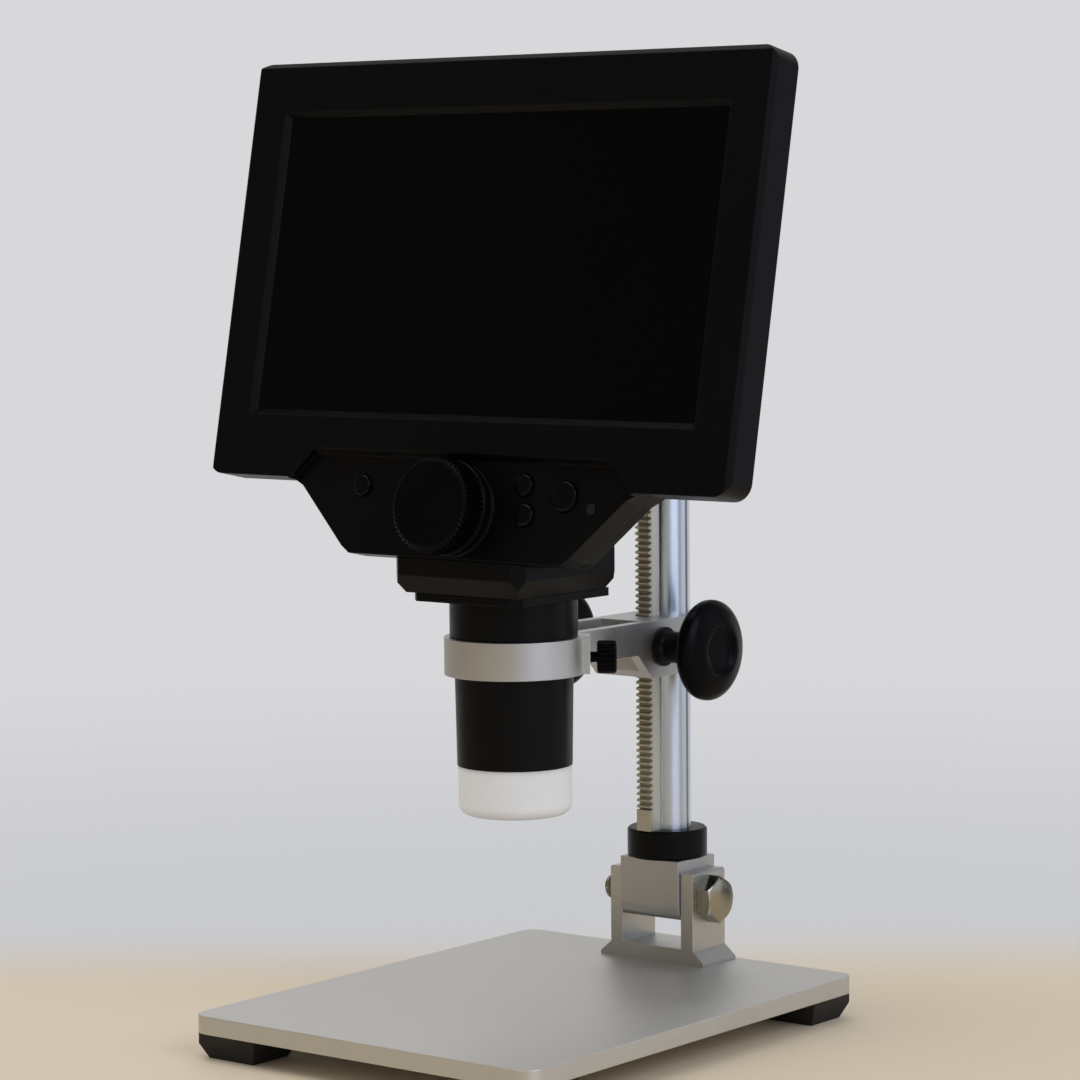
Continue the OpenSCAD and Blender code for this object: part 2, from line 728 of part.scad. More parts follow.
module barrel() color([0.06, 0.06, 0.06]) on_barrel() difference() {
    rotate_extrude() polygon([[0, barrel_low], [barrel_low_r, barrel_low], [barrel_mid_r, ring_z - 0.1],
        [barrel_seat_r, ring_z - 0.1], [barrel_seat_r, carriage_top + 0.1],
        [barrel_top_r, carriage_top + 0.1], [barrel_top_r, barrel_top], [0, barrel_top]]);
    rod_z(lamp_board_r + press, barrel_low - cut, board_z + board_t);
    rod_z(guide_r, board_z, barrel_top + cut);
    translate([0, -barrel_y, 0]) at_neck_screws()
        rod_z(screw_r + press, barrel_top - neck_thread, barrel_top + cut);
}

module lamp_cap() color([0.93, 0.93, 0.9]) on_barrel() difference() {
    rotate_extrude() {
        translate([0, lamp_low + lamp_round]) square([lamp_r, lamp_h - lamp_round]);
        translate([0, lamp_low]) square([lamp_r - lamp_round, lamp_h]);
        translate([lamp_r - lamp_round, lamp_low + lamp_round]) circle(lamp_round);
        square_ring(lamp_board_r);
    }
    rod_z(lamp_board_r - lamp_wall, lamp_low + lamp_wall, board_z + cut);
    rod_z(lamp_hole_r, lamp_low - cut, lamp_low + 2 * lamp_wall);
}

// Section of the spigot that plugs the lamp cap into the barrel
module square_ring(r) translate([0, lamp_low + lamp_h - cut]) square([r, board_z - lamp_low - lamp_h + cut]);

module lamp_board() color("seagreen") on_barrel() difference() {
    rod_z(lamp_board_r, board_z, board_z + board_t);
    rod_z(nose_r + pass, board_z - cut, board_z + board_t + cut);
}

module lamps() color("khaki") on_barrel() for (k = [0:lamp_count - 1]) rotate(k * 360 / lamp_count)
    translate([lamp_circle_r, 0, board_z - lamp_size[2] / 2]) cube(lamp_size, center = true);

module lens_carrier() color([0.15, 0.15, 0.15]) {
    on_barrel() difference() {
        union() {
            rod_z(guide_r - run, carrier_low, carrier_top);
            rod_z(nose_r, nose_low, carrier_low + cut);
        }
        rod_z(lens_r - 0.8, nose_low - cut, carrier_top + cut);
        rod_z(lens_r + press, nose_low - cut, nose_low + 2.4);
        rod_z(guide_r - 3.4, carrier_low + 3, carrier_top + cut);
    }
    intersection() {
        span([focus_rack_x - cut, focus_rack_y[0], carrier_top - cut],
            [focus_rack_out, focus_rack_y[1], focus_contact_z + focus_rack_half]);
        union() {
            on_face() translate([0, 0, focus_mid_w]) linear_extrude(4 * focus_pinion_t, center = true)
                translate([focus_r, wheel_v - focus_rack_n / 2 * focus_pitch]) rotate(90)
                polygon(focus_rack_points);
            span([focus_r + focus_root, focus_rack_y[0], carrier_top - cut],
                [focus_rack_out, focus_rack_y[1], focus_contact_z]);
        }
    }
}

focus_rack_n = 2 * ceil(focus_rack_half / focus_pitch) + 4;
focus_rack_points = rack_outline(focus_rack_n, focus_pitch, focus_tip, focus_root, focus_rack_out - focus_r);

module objective_lens() color([0.6, 0.75, 0.85]) on_barrel() rod_z(lens_r, nose_low + 0.4, nose_low + 2.4);

// ---- neck ----

// Neck from above: bevelled rectangle grown or shrunk by inset
module neck_outline(inset) {
    w = neck_w / 2 - inset;
    f = neck_front_y + inset;
    b = neck_back_y - inset;
    polygon([[-w + neck_corner, f], [w - neck_corner, f], [w, f + neck_corner], [w, b - neck_corner],
        [w - neck_corner, b], [-w + neck_corner, b], [-w, b - neck_corner], [-w, f + neck_corner]]);
}

// Neck from the side: upright box below, sloping hump behind the screen
module neck_side(inset) polygon([
    [neck_front_y + neck_bevel, neck_z + inset], [neck_back_y - neck_bevel, neck_z + inset],
    [neck_back_y - inset, neck_z + neck_bevel_h], [neck_back_y - inset, neck_top_z],
    [neck_back_y - 12 - inset, hump_z - inset], [neck_front_y + inset, hump_z - inset],
    [neck_front_y + inset, neck_z + neck_bevel_h]]);

// Neck from the front
module neck_face(inset) polygon([
    [-neck_w / 2 + neck_bevel, neck_z + inset], [neck_w / 2 - neck_bevel, neck_z + inset],
    [neck_w / 2 - inset, neck_z + neck_bevel_h], [neck_w / 2 - inset, hump_z],
    [-neck_w / 2 + inset, hump_z], [-neck_w / 2 + inset, neck_z + neck_bevel_h]]);

module neck_solid(inset) intersection() {
    along_x(neck_w) neck_side(inset);
    along_y(4 * neck_w) neck_face(inset);
    translate([0, 0, neck_z]) linear_extrude(hump_z - neck_z) neck_outline(inset);
}

module neck_housing() color([0.07, 0.07, 0.07]) difference() {
    union() {
        difference() {
            neck_solid(0);
            neck_solid(neck_wall);
        }
        for (s = [-1, 1]) translate([s * (neck_w / 2 - neck_wall - 1.5), barrel_y, sensor_z - 1.5])
            cube([3.2, 14, 3], center = true);
    }
    on_face() head_block();
    on_barrel() rod_z(guide_r + pass, neck_z - cut, neck_floor + cut);
    at_neck_screws() rod_z(screw_r + press, neck_z - cut, neck_floor + cut);
}

module step_plate() color([0.06, 0.06, 0.06]) difference() {
    translate([0, 0, step_z]) linear_extrude(step_t) step_outline();
    on_barrel() rod_z(guide_r + pass, step_z - cut, neck_z + cut);
    at_neck_screws() rod_z(screw_r + press, step_z - cut, neck_z + cut);
}

// Step plate from above: set back from the neck's front and sides, almost flush behind
module step_outline() {
    w = neck_w / 2 - step_inset;
    f = neck_front_y + step_inset;
    b = neck_back_y - step_back;
    polygon([[-w + neck_corner, f], [w - neck_corner, f], [w, f + neck_corner], [w, b], [-w, b],
        [-w, f + neck_corner]]);
}

module neck_screws() color("dimgray") at_neck_screws() {
    rod_z(screw_r, barrel_top - 5, neck_floor);
    rod_z(1.7 * screw_r, neck_floor, neck_floor + 1.2);
}

module sensor_board() color("seagreen") {
    span([-pass_w / 2 + pass, barrel_y - sensor_front, sensor_z],
        [pass_w / 2 - pass, barrel_y + sensor_back, sensor_z + board_t]);
    span([-sensor_w / 2, barrel_y - sensor_w / 2, sensor_z - sensor_t],
        [sensor_w / 2, barrel_y + sensor_w / 2, sensor_z]);
}

// ---- screen head ----

// Outline of the head's face with its chin, shrunk by inset
module face_outline(inset) {
    round_rect(head_w - 2 * inset, head_h - 2 * inset, head_corner_r - inset / 2);
    chin_outline(inset);
}

module chin_outline(inset) polygon([
    [-chin_top_w / 2 - 3 + inset, -head_h / 2 + 3], [-chin_top_w / 2 - 3 + inset, -head_h / 2 + inset],
    [-chin_top_w / 2 + 1 + inset, -head_h / 2 - 2],
    [-chin_low_w / 2 - 1 + inset, chin_low + 2], [-chin_low_w / 2 + 2 + inset, chin_low + inset],
    [chin_low_w / 2 - 2 - inset, chin_low + inset], [chin_low_w / 2 + 1 - inset, chin_low + 2],
    [chin_top_w / 2 - 1 - inset, -head_h / 2 - 2],
    [chin_top_w / 2 + 3 - inset, -head_h / 2 + inset], [chin_top_w / 2 + 3 - inset, -head_h / 2 + 3]]);

// Sloped back of the head, shrunk by inset
module rear_body(inset) intersection() {
    translate([0, 0, -front_depth]) taper_box([head_w - 3 - 2 * inset, head_h - 3 - 2 * inset],
        [head_w - 2 * rear_slope_x - 2 * inset, head_h - 2 * rear_slope_v - 2 * inset], rear_depth - inset);
    translate([0, 0, -head_depth]) linear_extrude(rear_depth + cut) round_rect(head_w - 3 - 2 * inset,
        head_h - 3 - 2 * inset, head_corner_r - inset / 2);
}

// Everything that the head fills in front of the neck
module head_block() {
    rear_body(0);
    translate([0, 0, -front_depth]) linear_extrude(front_depth + beyond) face_outline(0);
    translate([0, 0, -chin_depth]) linear_extrude(chin_depth + beyond) chin_outline(seam);
}

module front_cover() color([0.05, 0.05, 0.05]) on_face() difference() {
    intersection() {
        translate([0, 0, -front_depth]) linear_extrude(front_depth) face_outline(0);
        translate([0, -chin_h / 2, 0]) taper_box([head_w - 2 * edge_bevel, head_h + chin_h - 2 * edge_bevel],
            [head_w + 2 * (front_depth - edge_bevel), head_h + chin_h + 2 * (front_depth - edge_bevel)],
            front_depth);
    }
    control_cut();
    difference() {
        translate([0, 0, -front_depth - cut]) linear_extrude(front_depth + cut - skin) face_outline(skin);
        control_back();
        at_cover_screws() cylinder(r = boss_r, h = 2 * front_depth, center = true);
    }
    translate([0, window_up, 0]) taper_box([window_w, window_h],
        [window_w - 2 * window_slope, window_h - 2 * window_slope], skin);
    at_cover_screws() translate([0, 0, -front_depth - cut])
        cylinder(r = screw_r + press, h = front_depth - skin);
    button_holes();
    translate([0, wheel_v, -front_depth]) cylinder(r = bush_hole_r + press, h = front_depth);
    port_cuts();
}

bush_hole_r = focus_shaft_r + 2;

// Cuts the control face back behind the head's face, with a slope along its top
module control_cut() {
    top = -head_h / 2 + chin_top;
    along_chin(top) polygon([[chin_low - cut, control_w], [top - chin_slope, control_w], [top, 0],
        [top, cut], [chin_low - cut, cut]]);
}

// Keeps the wall behind the control face
module control_back() {
    top = -head_h / 2 + chin_top + skin;
    along_chin(top) polygon([[chin_low - cut, chin_inner_w], [top - chin_slope, chin_inner_w], [top, -skin],
        [top, cut], [chin_low - cut, cut]]);
}

// A V-W outline drawn out along X, as wide as the control face
module along_chin(top) intersection() {
    along_x(head_w) children();
    translate([0, 0, -front_depth]) linear_extrude(3 * front_depth) polygon([
        [-chin_top_w / 2 + 6, top], [-chin_top_w / 2 - 2, -head_h / 2], [-chin_top_w / 2 - 2, chin_low - 2],
        [chin_top_w / 2 + 2, chin_low - 2], [chin_top_w / 2 + 2, -head_h / 2], [chin_top_w / 2 - 6, top]]);
}

module rear_cover() color([0.06, 0.06, 0.06]) on_face() difference() {
    union() {
        difference() {
            union() {
                rear_body(0);
                translate([0, 0, -chin_depth]) linear_extrude(chin_depth - front_depth) chin_outline(seam);
            }
            rear_body(skin);
            translate([0, 0, -chin_depth + skin]) linear_extrude(chin_depth - front_depth)
                chin_outline(seam + skin);
            translate([0, 0, -front_depth - cut]) linear_extrude(2 * cut) face_outline(skin);
        }
        intersection() {
            rear_body(0);
            at_cover_screws() translate([0, 0, -head_depth]) cylinder(r = boss_r + 1, h = rear_depth);
        }
    }
    at_cover_screws() {
        translate([0, 0, -head_depth - cut]) cylinder(r = screw_r + press, h = head_depth);
        translate([0, 0, -head_depth - cut]) cylinder(r = 2 * screw_r, h = head_depth + cut + screw_floor);
    }
    neck_pass();
}

// Way from the head into the neck
module neck_pass() span([-pass_w / 2, chin_low + 5, -head_depth - cut],
    [pass_w / 2, -head_h / 2 + 45, -front_depth - 0.5]);

module cover_screws() color("dimgray") on_face() at_cover_screws() {
    translate([0, 0, screw_floor - cut]) cylinder(r = screw_r, h = -screw_floor - skin);
    translate([0, 0, screw_floor - 1.2]) cylinder(r = 1.9 * screw_r, h = 1.2);
}

module window_pane() color([0.03, 0.03, 0.04]) on_face() translate([0, window_up, pane_w - pane_t / 2])
    cube([window_w - 2 * window_slope + 2 * pane_lap, window_h - 2 * window_slope + 2 * pane_lap, pane_t],
        center = true);

module lcd_module() color([0.2, 0.2, 0.22]) on_face() translate([0, window_up, lcd_w - lcd_t / 2])
    cube([window_w + 2 * pane_lap, window_h + 2 * pane_lap, lcd_t], center = true);

module main_board() color("seagreen") on_face()
    translate([mainboard_x, board_h / 2 - 26, mainboard_w - board_t / 2])
    cube([board_w, board_h, board_t], center = true);

module battery() color("lightsteelblue") on_face() translate([34, 2, battery_w0 - battery_t / 2])
    cube([battery_w, battery_h, battery_t], center = true);

// Left edge: charging socket and card slot sit on the main board
module charge_socket() color("silver") on_face() difference() {
    span([-head_w / 2 + 0.4, socket_v - socket_w / 2, mainboard_w],
        [-head_w / 2 + skin + 5, socket_v + socket_w / 2, mainboard_w + socket_t]);
    span([-head_w / 2 - cut, socket_v - socket_w / 2 + 0.5, mainboard_w + 0.5],
        [-head_w / 2 + skin + 3, socket_v + socket_w / 2 - 0.5, mainboard_w + socket_t - 0.5]);
}

module card_slot() color("silver") on_face() difference() {
    span([-head_w / 2 + skin + 0.2, slot_v - slot_w / 2 - 1, mainboard_w],
        [-head_w / 2 + skin + 14, slot_v + slot_w / 2 + 1, mainboard_w + slot_t + 0.6]);
    span([-head_w / 2 - cut, slot_v - slot_w / 2, mainboard_w + 0.4],
        [-head_w / 2 + skin + 11, slot_v + slot_w / 2, mainboard_w + 0.4 + slot_t - 0.4]);
}

module port_cuts() {
    span([-head_w / 2 - cut, socket_v - socket_w / 2 - press, mainboard_w - press],
        [-head_w / 2 + skin + cut, socket_v + socket_w / 2 + press, mainboard_w + socket_t + press]);
    span([-head_w / 2 - cut, slot_v - slot_w / 2, mainboard_w + 0.4],
        [-head_w / 2 + skin + cut, slot_v + slot_w / 2, mainboard_w + slot_t]);
}

// ---- controls ----

module button_holes() {
    for (p = [POWER, UP, DOWN]) translate([p[0], p[1], -front_depth])
        cylinder(r = button_r + button_play, h = front_depth);
    translate([OK[0], OK[1], -front_depth]) cylinder(r = ok_r + button_play, h = front_depth);
    translate([LIGHT[0], LIGHT[1], -front_depth]) cylinder(r = light_r + press, h = front_depth);
}

// Cap with a flange that keeps it behind the control face
module button_cap(place, r) on_face() translate([place[0], place[1], 0]) {
    translate([0, 0, button_back]) cylinder(r = r, h = control_w + button_up - button_back);
    translate([0, 0, chin_inner_w - 0.2 - button_flange]) cylinder(r = r + button_lip, h = button_flange);
}

module power_button() color([0.12, 0.12, 0.12]) button_cap(POWER, button_r);

module up_button() color([0.12, 0.12, 0.12]) button_cap(UP, button_r);

module down_button() color([0.12, 0.12, 0.12]) button_cap(DOWN, button_r);

module ok_button() color([0.12, 0.12, 0.12]) button_cap(OK, ok_r);

module status_light() color([0.8, 0.85, 0.9]) on_face()
    translate([LIGHT[0], LIGHT[1], button_back - button_travel])
        cylinder(r = light_r, h = control_w + light_proud - button_back + button_travel);

// Button board from the front, as wide as the chin lets it be
module button_board_outline() {
    low = chin_low_w / 2 - 2.5;
    top = chin_top_w / 2 - board_inset;
    polygon([[-low, chin_low + 6], [low, chin_low + 6], [top, -head_h / 2 - 5], [top, -head_h / 2 + 5],
        [-top, -head_h / 2 + 5], [-top, -head_h / 2 - 5]]);
}

// Board with one switch behind each button
module button_board() color("seagreen") on_face() difference() {
    union() {
        translate([0, 0, board_front - board_t]) linear_extrude(board_t) button_board_outline();
        for (p = [POWER, UP, DOWN, OK]) translate([p[0], p[1], board_front + switch_t / 2])
            cube([4, 4, switch_t], center = true);
        translate([LIGHT[0], LIGHT[1], board_front + switch_t / 2]) cube([2, 2, switch_t], center = true);
    }
    translate([0, wheel_v, board_front]) cylinder(r = bush_hole_r + 1, h = 4 * board_t, center = true);
}

board_front = button_back - button_travel - 0.1 - switch_t;

module focus_bush() color([0.1, 0.1, 0.1]) on_face() translate([0, wheel_v, 0]) difference() {
    union() {
        translate([0, 0, control_w]) rotate_extrude() polygon([[0, 0], [focus_flange_r, 0],
            [focus_flange_r - 0.5, focus_flange_t], [0, focus_flange_t]]);
        translate([0, 0, -front_depth]) cylinder(r = bush_hole_r, h = front_depth + control_w + 0.5);
    }
    translate([0, 0, -2 * front_depth]) cylinder(r = focus_shaft_r + run, h = 4 * front_depth);
}

module focus_shaft() color("lightgray") on_face() translate([0, wheel_v, 0]) {
    translate([0, 0, focus_shaft_in])
        cylinder(r = focus_shaft_r, h = wheel_w + wheel_t - wheel_front_t - focus_shaft_in);
    translate([0, 0, focus_shaft_in]) linear_extrude(focus_pinion_t)
        rotate(mesh_turn((0.5 - focus_rack_n / 2) * focus_pitch, focus_r, focus_teeth))
        polygon(pinion_outline(focus_teeth, focus_pitch, focus_pitch / PI, focus_tip + 0.12));
}

module focus_wheel() color([0.07, 0.07, 0.07]) on_face() translate([0, wheel_v, wheel_w]) difference() {
    union() {
        linear_extrude(wheel_t - 1) wheel_outline();
        rotate_extrude() polygon([[0, 0], [wheel_r - 1.2, 0], [wheel_r - 1.2, wheel_t - 0.6],
            [wheel_r - 1.8, wheel_t], [0, wheel_t]]);
    }
    translate([0, 0, -cut]) cylinder(r = focus_shaft_r + press, h = wheel_t - 3 + cut);
}

// Ribbed rim of the focus wheel: each rib as a share of its pitch and a depth
module wheel_outline() {
    rib = [[-0.34, rib_depth], [-0.2, 0], [0.2, 0], [0.34, rib_depth]];
    polygon([for (k = [0:wheel_teeth - 1]) for (s = rib)
        (wheel_r - s[1]) * [cos((k + s[0]) * 360 / wheel_teeth), sin((k + s[0]) * 360 / wheel_teeth)]]);
}

base_plate();
base_feet();
foot_screws();
post_bracket();
bracket_screws();
hinge_bolt();
hinge_block();
post_collar();
post_column();
gear_rack();
post_cap();
carriage();
shaft_bushes();
brake_pad();
brake_screw();
pinion_shaft();
knob_right();
knob_left();
clamp_thumbscrew();
barrel();
lamp_cap();
lamp_board();
lamps();
lens_carrier();
objective_lens();
step_plate();
neck_housing();
neck_screws();
sensor_board();
front_cover();
rear_cover();
cover_screws();
window_pane();
lcd_module();
main_board();
battery();
charge_socket();
card_slot();
button_board();
focus_bush();
focus_shaft();
focus_wheel();
power_button();
up_button();
down_button();
ok_button();
status_light();
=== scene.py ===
"""Dresses a microscope with its own screen: a finish for each solid, and finer pieces in place of some."""

from __future__ import annotations

import logging
import math
from collections.abc import Callable
from dataclasses import dataclass
from enum import Enum

import bmesh
import bpy
import numpy as np
from mathutils import Matrix


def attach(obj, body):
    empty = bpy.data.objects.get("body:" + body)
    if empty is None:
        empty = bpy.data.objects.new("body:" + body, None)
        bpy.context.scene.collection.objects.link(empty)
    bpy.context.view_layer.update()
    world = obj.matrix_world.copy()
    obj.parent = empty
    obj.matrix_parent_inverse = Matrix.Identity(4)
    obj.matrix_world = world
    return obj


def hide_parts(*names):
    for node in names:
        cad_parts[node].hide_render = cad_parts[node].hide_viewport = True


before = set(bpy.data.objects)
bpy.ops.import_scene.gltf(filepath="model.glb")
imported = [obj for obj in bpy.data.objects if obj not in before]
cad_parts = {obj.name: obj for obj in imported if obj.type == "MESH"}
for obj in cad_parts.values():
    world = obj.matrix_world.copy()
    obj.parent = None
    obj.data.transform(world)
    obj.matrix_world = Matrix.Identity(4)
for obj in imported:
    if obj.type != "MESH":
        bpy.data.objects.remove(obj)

LOG = logging.getLogger("screen_microscope")
MM = 0.001
UM = 1e-6
NOISE = (0.3, 0.7)  # nearly all of a noise texture's values lie between these
WEAR_AND_HIGHLIGHT = (0.99, 0.8)  # cosine between rounded and true normal where an edge's wear and painted highlight start, and where they are full
Rgba = tuple[float, float, float, float]
Vec3 = tuple[float, float, float]


# ---------------------------------------------------------------- colours and nodes


def linear(hex_value: str) -> Rgba:
    """Turn an sRGB hex colour into linear light.

    Args:
        hex_value: Colour such as "#C8C8C4".

    Returns:
        Red, green and blue in linear light, and an alpha of 1.
    """
    raw = np.array([int(hex_value[i : i + 2], 16) for i in (1, 3, 5)]) / 255.0
    value = np.where(raw <= 0.04045, raw / 12.92, ((raw + 0.055) / 1.055) ** 2.4)
    return (float(value[0]), float(value[1]), float(value[2]), 1.0)


def add(
    tree: bpy.types.NodeTree, kind: str, settings: dict | None = None, links: dict | None = None
) -> bpy.types.Node:
    """Add one node, with its settings and the sockets that feed it.

    Args:
        tree: Node tree to add to.
        kind: Blender's name for the kind of node.
        settings: Input defaults (by socket name or number) and node properties (by name).
        links: Source socket for each input, by socket name or number.

    Returns:
        The new node.
    """
    node = tree.nodes.new(kind)
    for key, value in (settings or {}).items():
        if isinstance(key, int) or key in node.inputs:
            node.inputs[key].default_value = value
        else:
            setattr(node, key, value)
    for key, source in (links or {}).items():
        tree.links.new(source, node.inputs[key])
    return node


def blank(owner: bpy.types.Material | bpy.types.World) -> bpy.types.NodeTree:
    """Give a material or a world an empty node tree."""
    owner.use_nodes = True
    owner.node_tree.nodes.clear()
    return owner.node_tree


def ramp(
    tree: bpy.types.NodeTree,
    value: bpy.types.NodeSocket,
    source: tuple[float, float],
    target: tuple[float, float] = (0.0, 1.0),
    course: str = "LINEAR",
) -> bpy.types.NodeSocket:
    """Map a value from one range to another, and clamp it there.

    Args:
        tree: Node tree to add to.
        value: The value.
        source: The range it comes from.
        target: The range it goes to.
        course: Blender's name for the way between the range's ends.

    Returns:
        Socket with the mapped value.
    """
    ends = {"From Min": source[0], "From Max": source[1], "To Min": target[0], "To Max": target[1]}
    node = add(tree, "ShaderNodeMapRange", {"interpolation_type": course, **ends}, {"Value": value})
    return node.outputs[0]


def swing(
    tree: bpy.types.NodeTree, noise: bpy.types.NodeSocket, middle: float, reach: float
) -> bpy.types.NodeSocket:
    """Map noise to a middle value, give or take a reach."""
    return ramp(tree, noise, NOISE, (middle - reach, middle + reach))


def maths(
    tree: bpy.types.NodeTree, operation: str, first: bpy.types.NodeSocket, second: bpy.types.NodeSocket
) -> bpy.types.NodeSocket:
    """Combine two values by the named operation."""
    return add(tree, "ShaderNodeMath", {"operation": operation}, {0: first, 1: second}).outputs[0]


class Grain(Enum):
    """How a finish's fine pattern runs."""

    EVEN = "even"
    ALONG_X = "along x"
    ALONG_Y = "along y"
    ALONG_Z = "along z"

    def stretch(self, ratio: float) -> Vec3:
        """Scale factors that draw a pattern out along one axis by the given ratio."""
        low = 1.0 / ratio
        return {
            Grain.EVEN: (1.0, 1.0, 1.0),
            Grain.ALONG_X: (low, 1.0, 1.0),
            Grain.ALONG_Y: (1.0, low, 1.0),
            Grain.ALONG_Z: (1.0, 1.0, low),
        }[self]


@dataclass(frozen=True)
class Finish:
    """A surface finish: base values, a fine grain in millimetres and a slow variation over the surface.

    The grain is noise whose cells measure grain_mm, drawn out by stretch along its axis. It moves the height
    by grain_um micrometres, the roughness by grain_rough and the lightness by grain_tone. The slow variation
    has cells of patch_mm and moves the lightness by patch_tone and the roughness by patch_rough. Edges are
    rounded over edge_mm and made lighter by edge_wear_and_highlight, which stands for wear and for a painted
    highlight.
    """

    name: str
    color: str
    metallic: float = 0.0
    roughness: float = 0.5
    ior: float = 1.5
    grain: Grain = Grain.EVEN
    grain_mm: float = 0.4
    stretch: float = 40.0
    grain_um: float = 10.0
    grain_rough: float = 0.05
    grain_tone: float = 0.0
    patch_mm: float = 30.0
    patch_tone: float = 0.04
    patch_rough: float = 0.06
    # lightness added along edges: wear together with a painted highlight
    edge_wear_and_highlight: float = 0.0
    edge_mm: float = 0.3

    def base(self, tree: bpy.types.NodeTree, shader: bpy.types.Node, coords: bpy.types.NodeSocket) -> None:
        """Link colour, roughness and bump to the shader.

        Args:
            tree: The material's node tree.
            shader: Its Principled shader.
            coords: Object coordinates in metres.
        """
        drawn_out = {"Scale": self.grain.stretch(self.stretch)}
        scale = add(tree, "ShaderNodeMapping", drawn_out, {"Vector": coords})
        fine_look = {"Scale": 1.0 / (self.grain_mm * MM), "Detail": 3.0, "Roughness": 0.6}
        fine = add(tree, "ShaderNodeTexNoise", fine_look, {"Vector": scale.outputs[0]}).outputs[0]
        slow_look = {"Scale": 1.0 / (self.patch_mm * MM), "Detail": 4.0, "Roughness": 0.55}
        slow = add(tree, "ShaderNodeTexNoise", slow_look, {"Vector": coords}).outputs[0]
        edge = add(tree, "ShaderNodeBevel", {"samples": 6, "Radius": self.edge_mm * MM}).outputs[0]
        color = add(
            tree,
            "ShaderNodeMix",
            {"data_type": "RGBA", "blend_type": "MULTIPLY", 0: 1.0, 6: linear(self.color)},
            {7: self.tone(tree, fine, slow, edge)},
        )
        tree.links.new(color.outputs[2], shader.inputs["Base Color"])
        rough = swing(tree, slow, self.roughness, self.patch_rough)
        grit = swing(tree, fine, 0.0, self.grain_rough)
        total = add(tree, "ShaderNodeMath", {"operation": "ADD", "use_clamp": True}, {0: rough, 1: grit})
        tree.links.new(total.outputs[0], shader.inputs["Roughness"])
        relief = {"Strength": 1.0, "Distance": self.grain_um * UM}
        bump = add(tree, "ShaderNodeBump", relief, {"Height": fine, "Normal": edge})
        tree.links.new(bump.outputs[0], shader.inputs["Normal"])

    def tone(
        self,
        tree: bpy.types.NodeTree,
        fine: bpy.types.NodeSocket,
        slow: bpy.types.NodeSocket,
        edge: bpy.types.NodeSocket,
    ) -> bpy.types.NodeSocket:
        """Lightness factor near 1 from grain, slow patches, and edge wear with a painted highlight.

        Args:
            tree: The material's node tree.
            fine: Fine noise.
            slow: Slow noise.
            edge: Normal rounded over the edges.

        Returns:
            Socket that holds the factor.
        """
        patch = swing(tree, slow, 1.0, self.patch_tone)
        speck = swing(tree, fine, 1.0, self.grain_tone)
        both = maths(tree, "MULTIPLY", patch, speck)
        if not self.edge_wear_and_highlight:
            return both
        # edge lighter by wear and a painted highlight, where the rounded normal leaves the true one
        true_normal = add(tree, "ShaderNodeNewGeometry").outputs["Normal"]
        along = add(tree, "ShaderNodeVectorMath", {"operation": "DOT_PRODUCT"}, {0: edge, 1: true_normal})
        worn_and_lit = ramp(tree, along.outputs["Value"], WEAR_AND_HIGHLIGHT, (1.0, 1.0 + self.edge_wear_and_highlight))
        return maths(tree, "MULTIPLY", both, worn_and_lit)

    def special(self, tree: bpy.types.NodeTree, shader: bpy.types.Node, coords: bpy.types.NodeSocket) -> None:
        """Add what only this kind of finish has. The plain finish adds nothing."""

    def build(self) -> bpy.types.Material:
        """Make the material, or return it if it is already made.

        Returns:
            The material.
        """
        made = bpy.data.materials.get(self.name)
        if made:
            return made
        material = bpy.data.materials.new(self.name)
        tree = blank(material)
        shader = add(tree, "ShaderNodeBsdfPrincipled", {"Metallic": self.metallic, "IOR": self.ior})
        add(tree, "ShaderNodeOutputMaterial", None, {"Surface": shader.outputs[0]})
        coords = add(tree, "ShaderNodeTexCoord").outputs["Object"]
        self.base(tree, shader, coords)
        self.special(tree, shader, coords)
        return material


@dataclass(frozen=True)
class Diffuser(Finish):
    """Milky moulded acrylic: light goes in, scatters and comes out soft."""

    depth_mm: float = 4.0
    scatter: float = 0.6
    spread: Vec3 = (1.0, 0.95, 0.8)

    def special(self, tree: bpy.types.NodeTree, shader: bpy.types.Node, coords: bpy.types.NodeSocket) -> None:
        """Let light scatter below the surface."""
        shader.inputs["Subsurface Weight"].default_value = self.scatter
        shader.inputs["Subsurface Radius"].default_value = self.spread
        shader.inputs["Subsurface Scale"].default_value = self.depth_mm * MM


@dataclass(frozen=True)
class Coated(Finish):
    """A finish under a clear hard coat, such as solder resist or glass."""

    coat: float = 1.0
    coat_rough: float = 0.05

    def special(self, tree: bpy.types.NodeTree, shader: bpy.types.Node, coords: bpy.types.NodeSocket) -> None:
        """Lay the clear coat over the base."""
        shader.inputs["Coat Weight"].default_value = self.coat
        shader.inputs["Coat Roughness"].default_value = self.coat_rough


@dataclass(frozen=True)
class Clear(Finish):
    """Clear glass or acrylic that light passes through."""

    passed: float = 0.9

    def special(self, tree: bpy.types.NodeTree, shader: bpy.types.Node, coords: bpy.types.NodeSocket) -> None:
        """Let light pass through."""
        shader.inputs["Transmission Weight"].default_value = self.passed


@dataclass(frozen=True)
class Hobbed(Finish):
    """Steel bar with greasy teeth along one edge and a brightly ground back."""

    teeth_end_mm: float = 53.65
    bar_from_mm: float = 54.25
    ground: str = "#C6C3B8"

    def special(self, tree: bpy.types.NodeTree, shader: bpy.types.Node, coords: bpy.types.NodeSocket) -> None:
        """Turn the tone from the teeth's to the ground bar's behind the line of the roots."""
        across = add(tree, "ShaderNodeSeparateXYZ", None, {0: coords}).outputs[1]
        behind = ramp(tree, across, (self.teeth_end_mm * MM, self.bar_from_mm * MM))
        base = shader.inputs["Base Color"]
        tones = {"data_type": "RGBA", 7: linear(self.ground)}
        tone = add(tree, "ShaderNodeMix", tones, {0: behind, 6: base.links[0].from_socket})
        tree.links.new(tone.outputs[2], base)


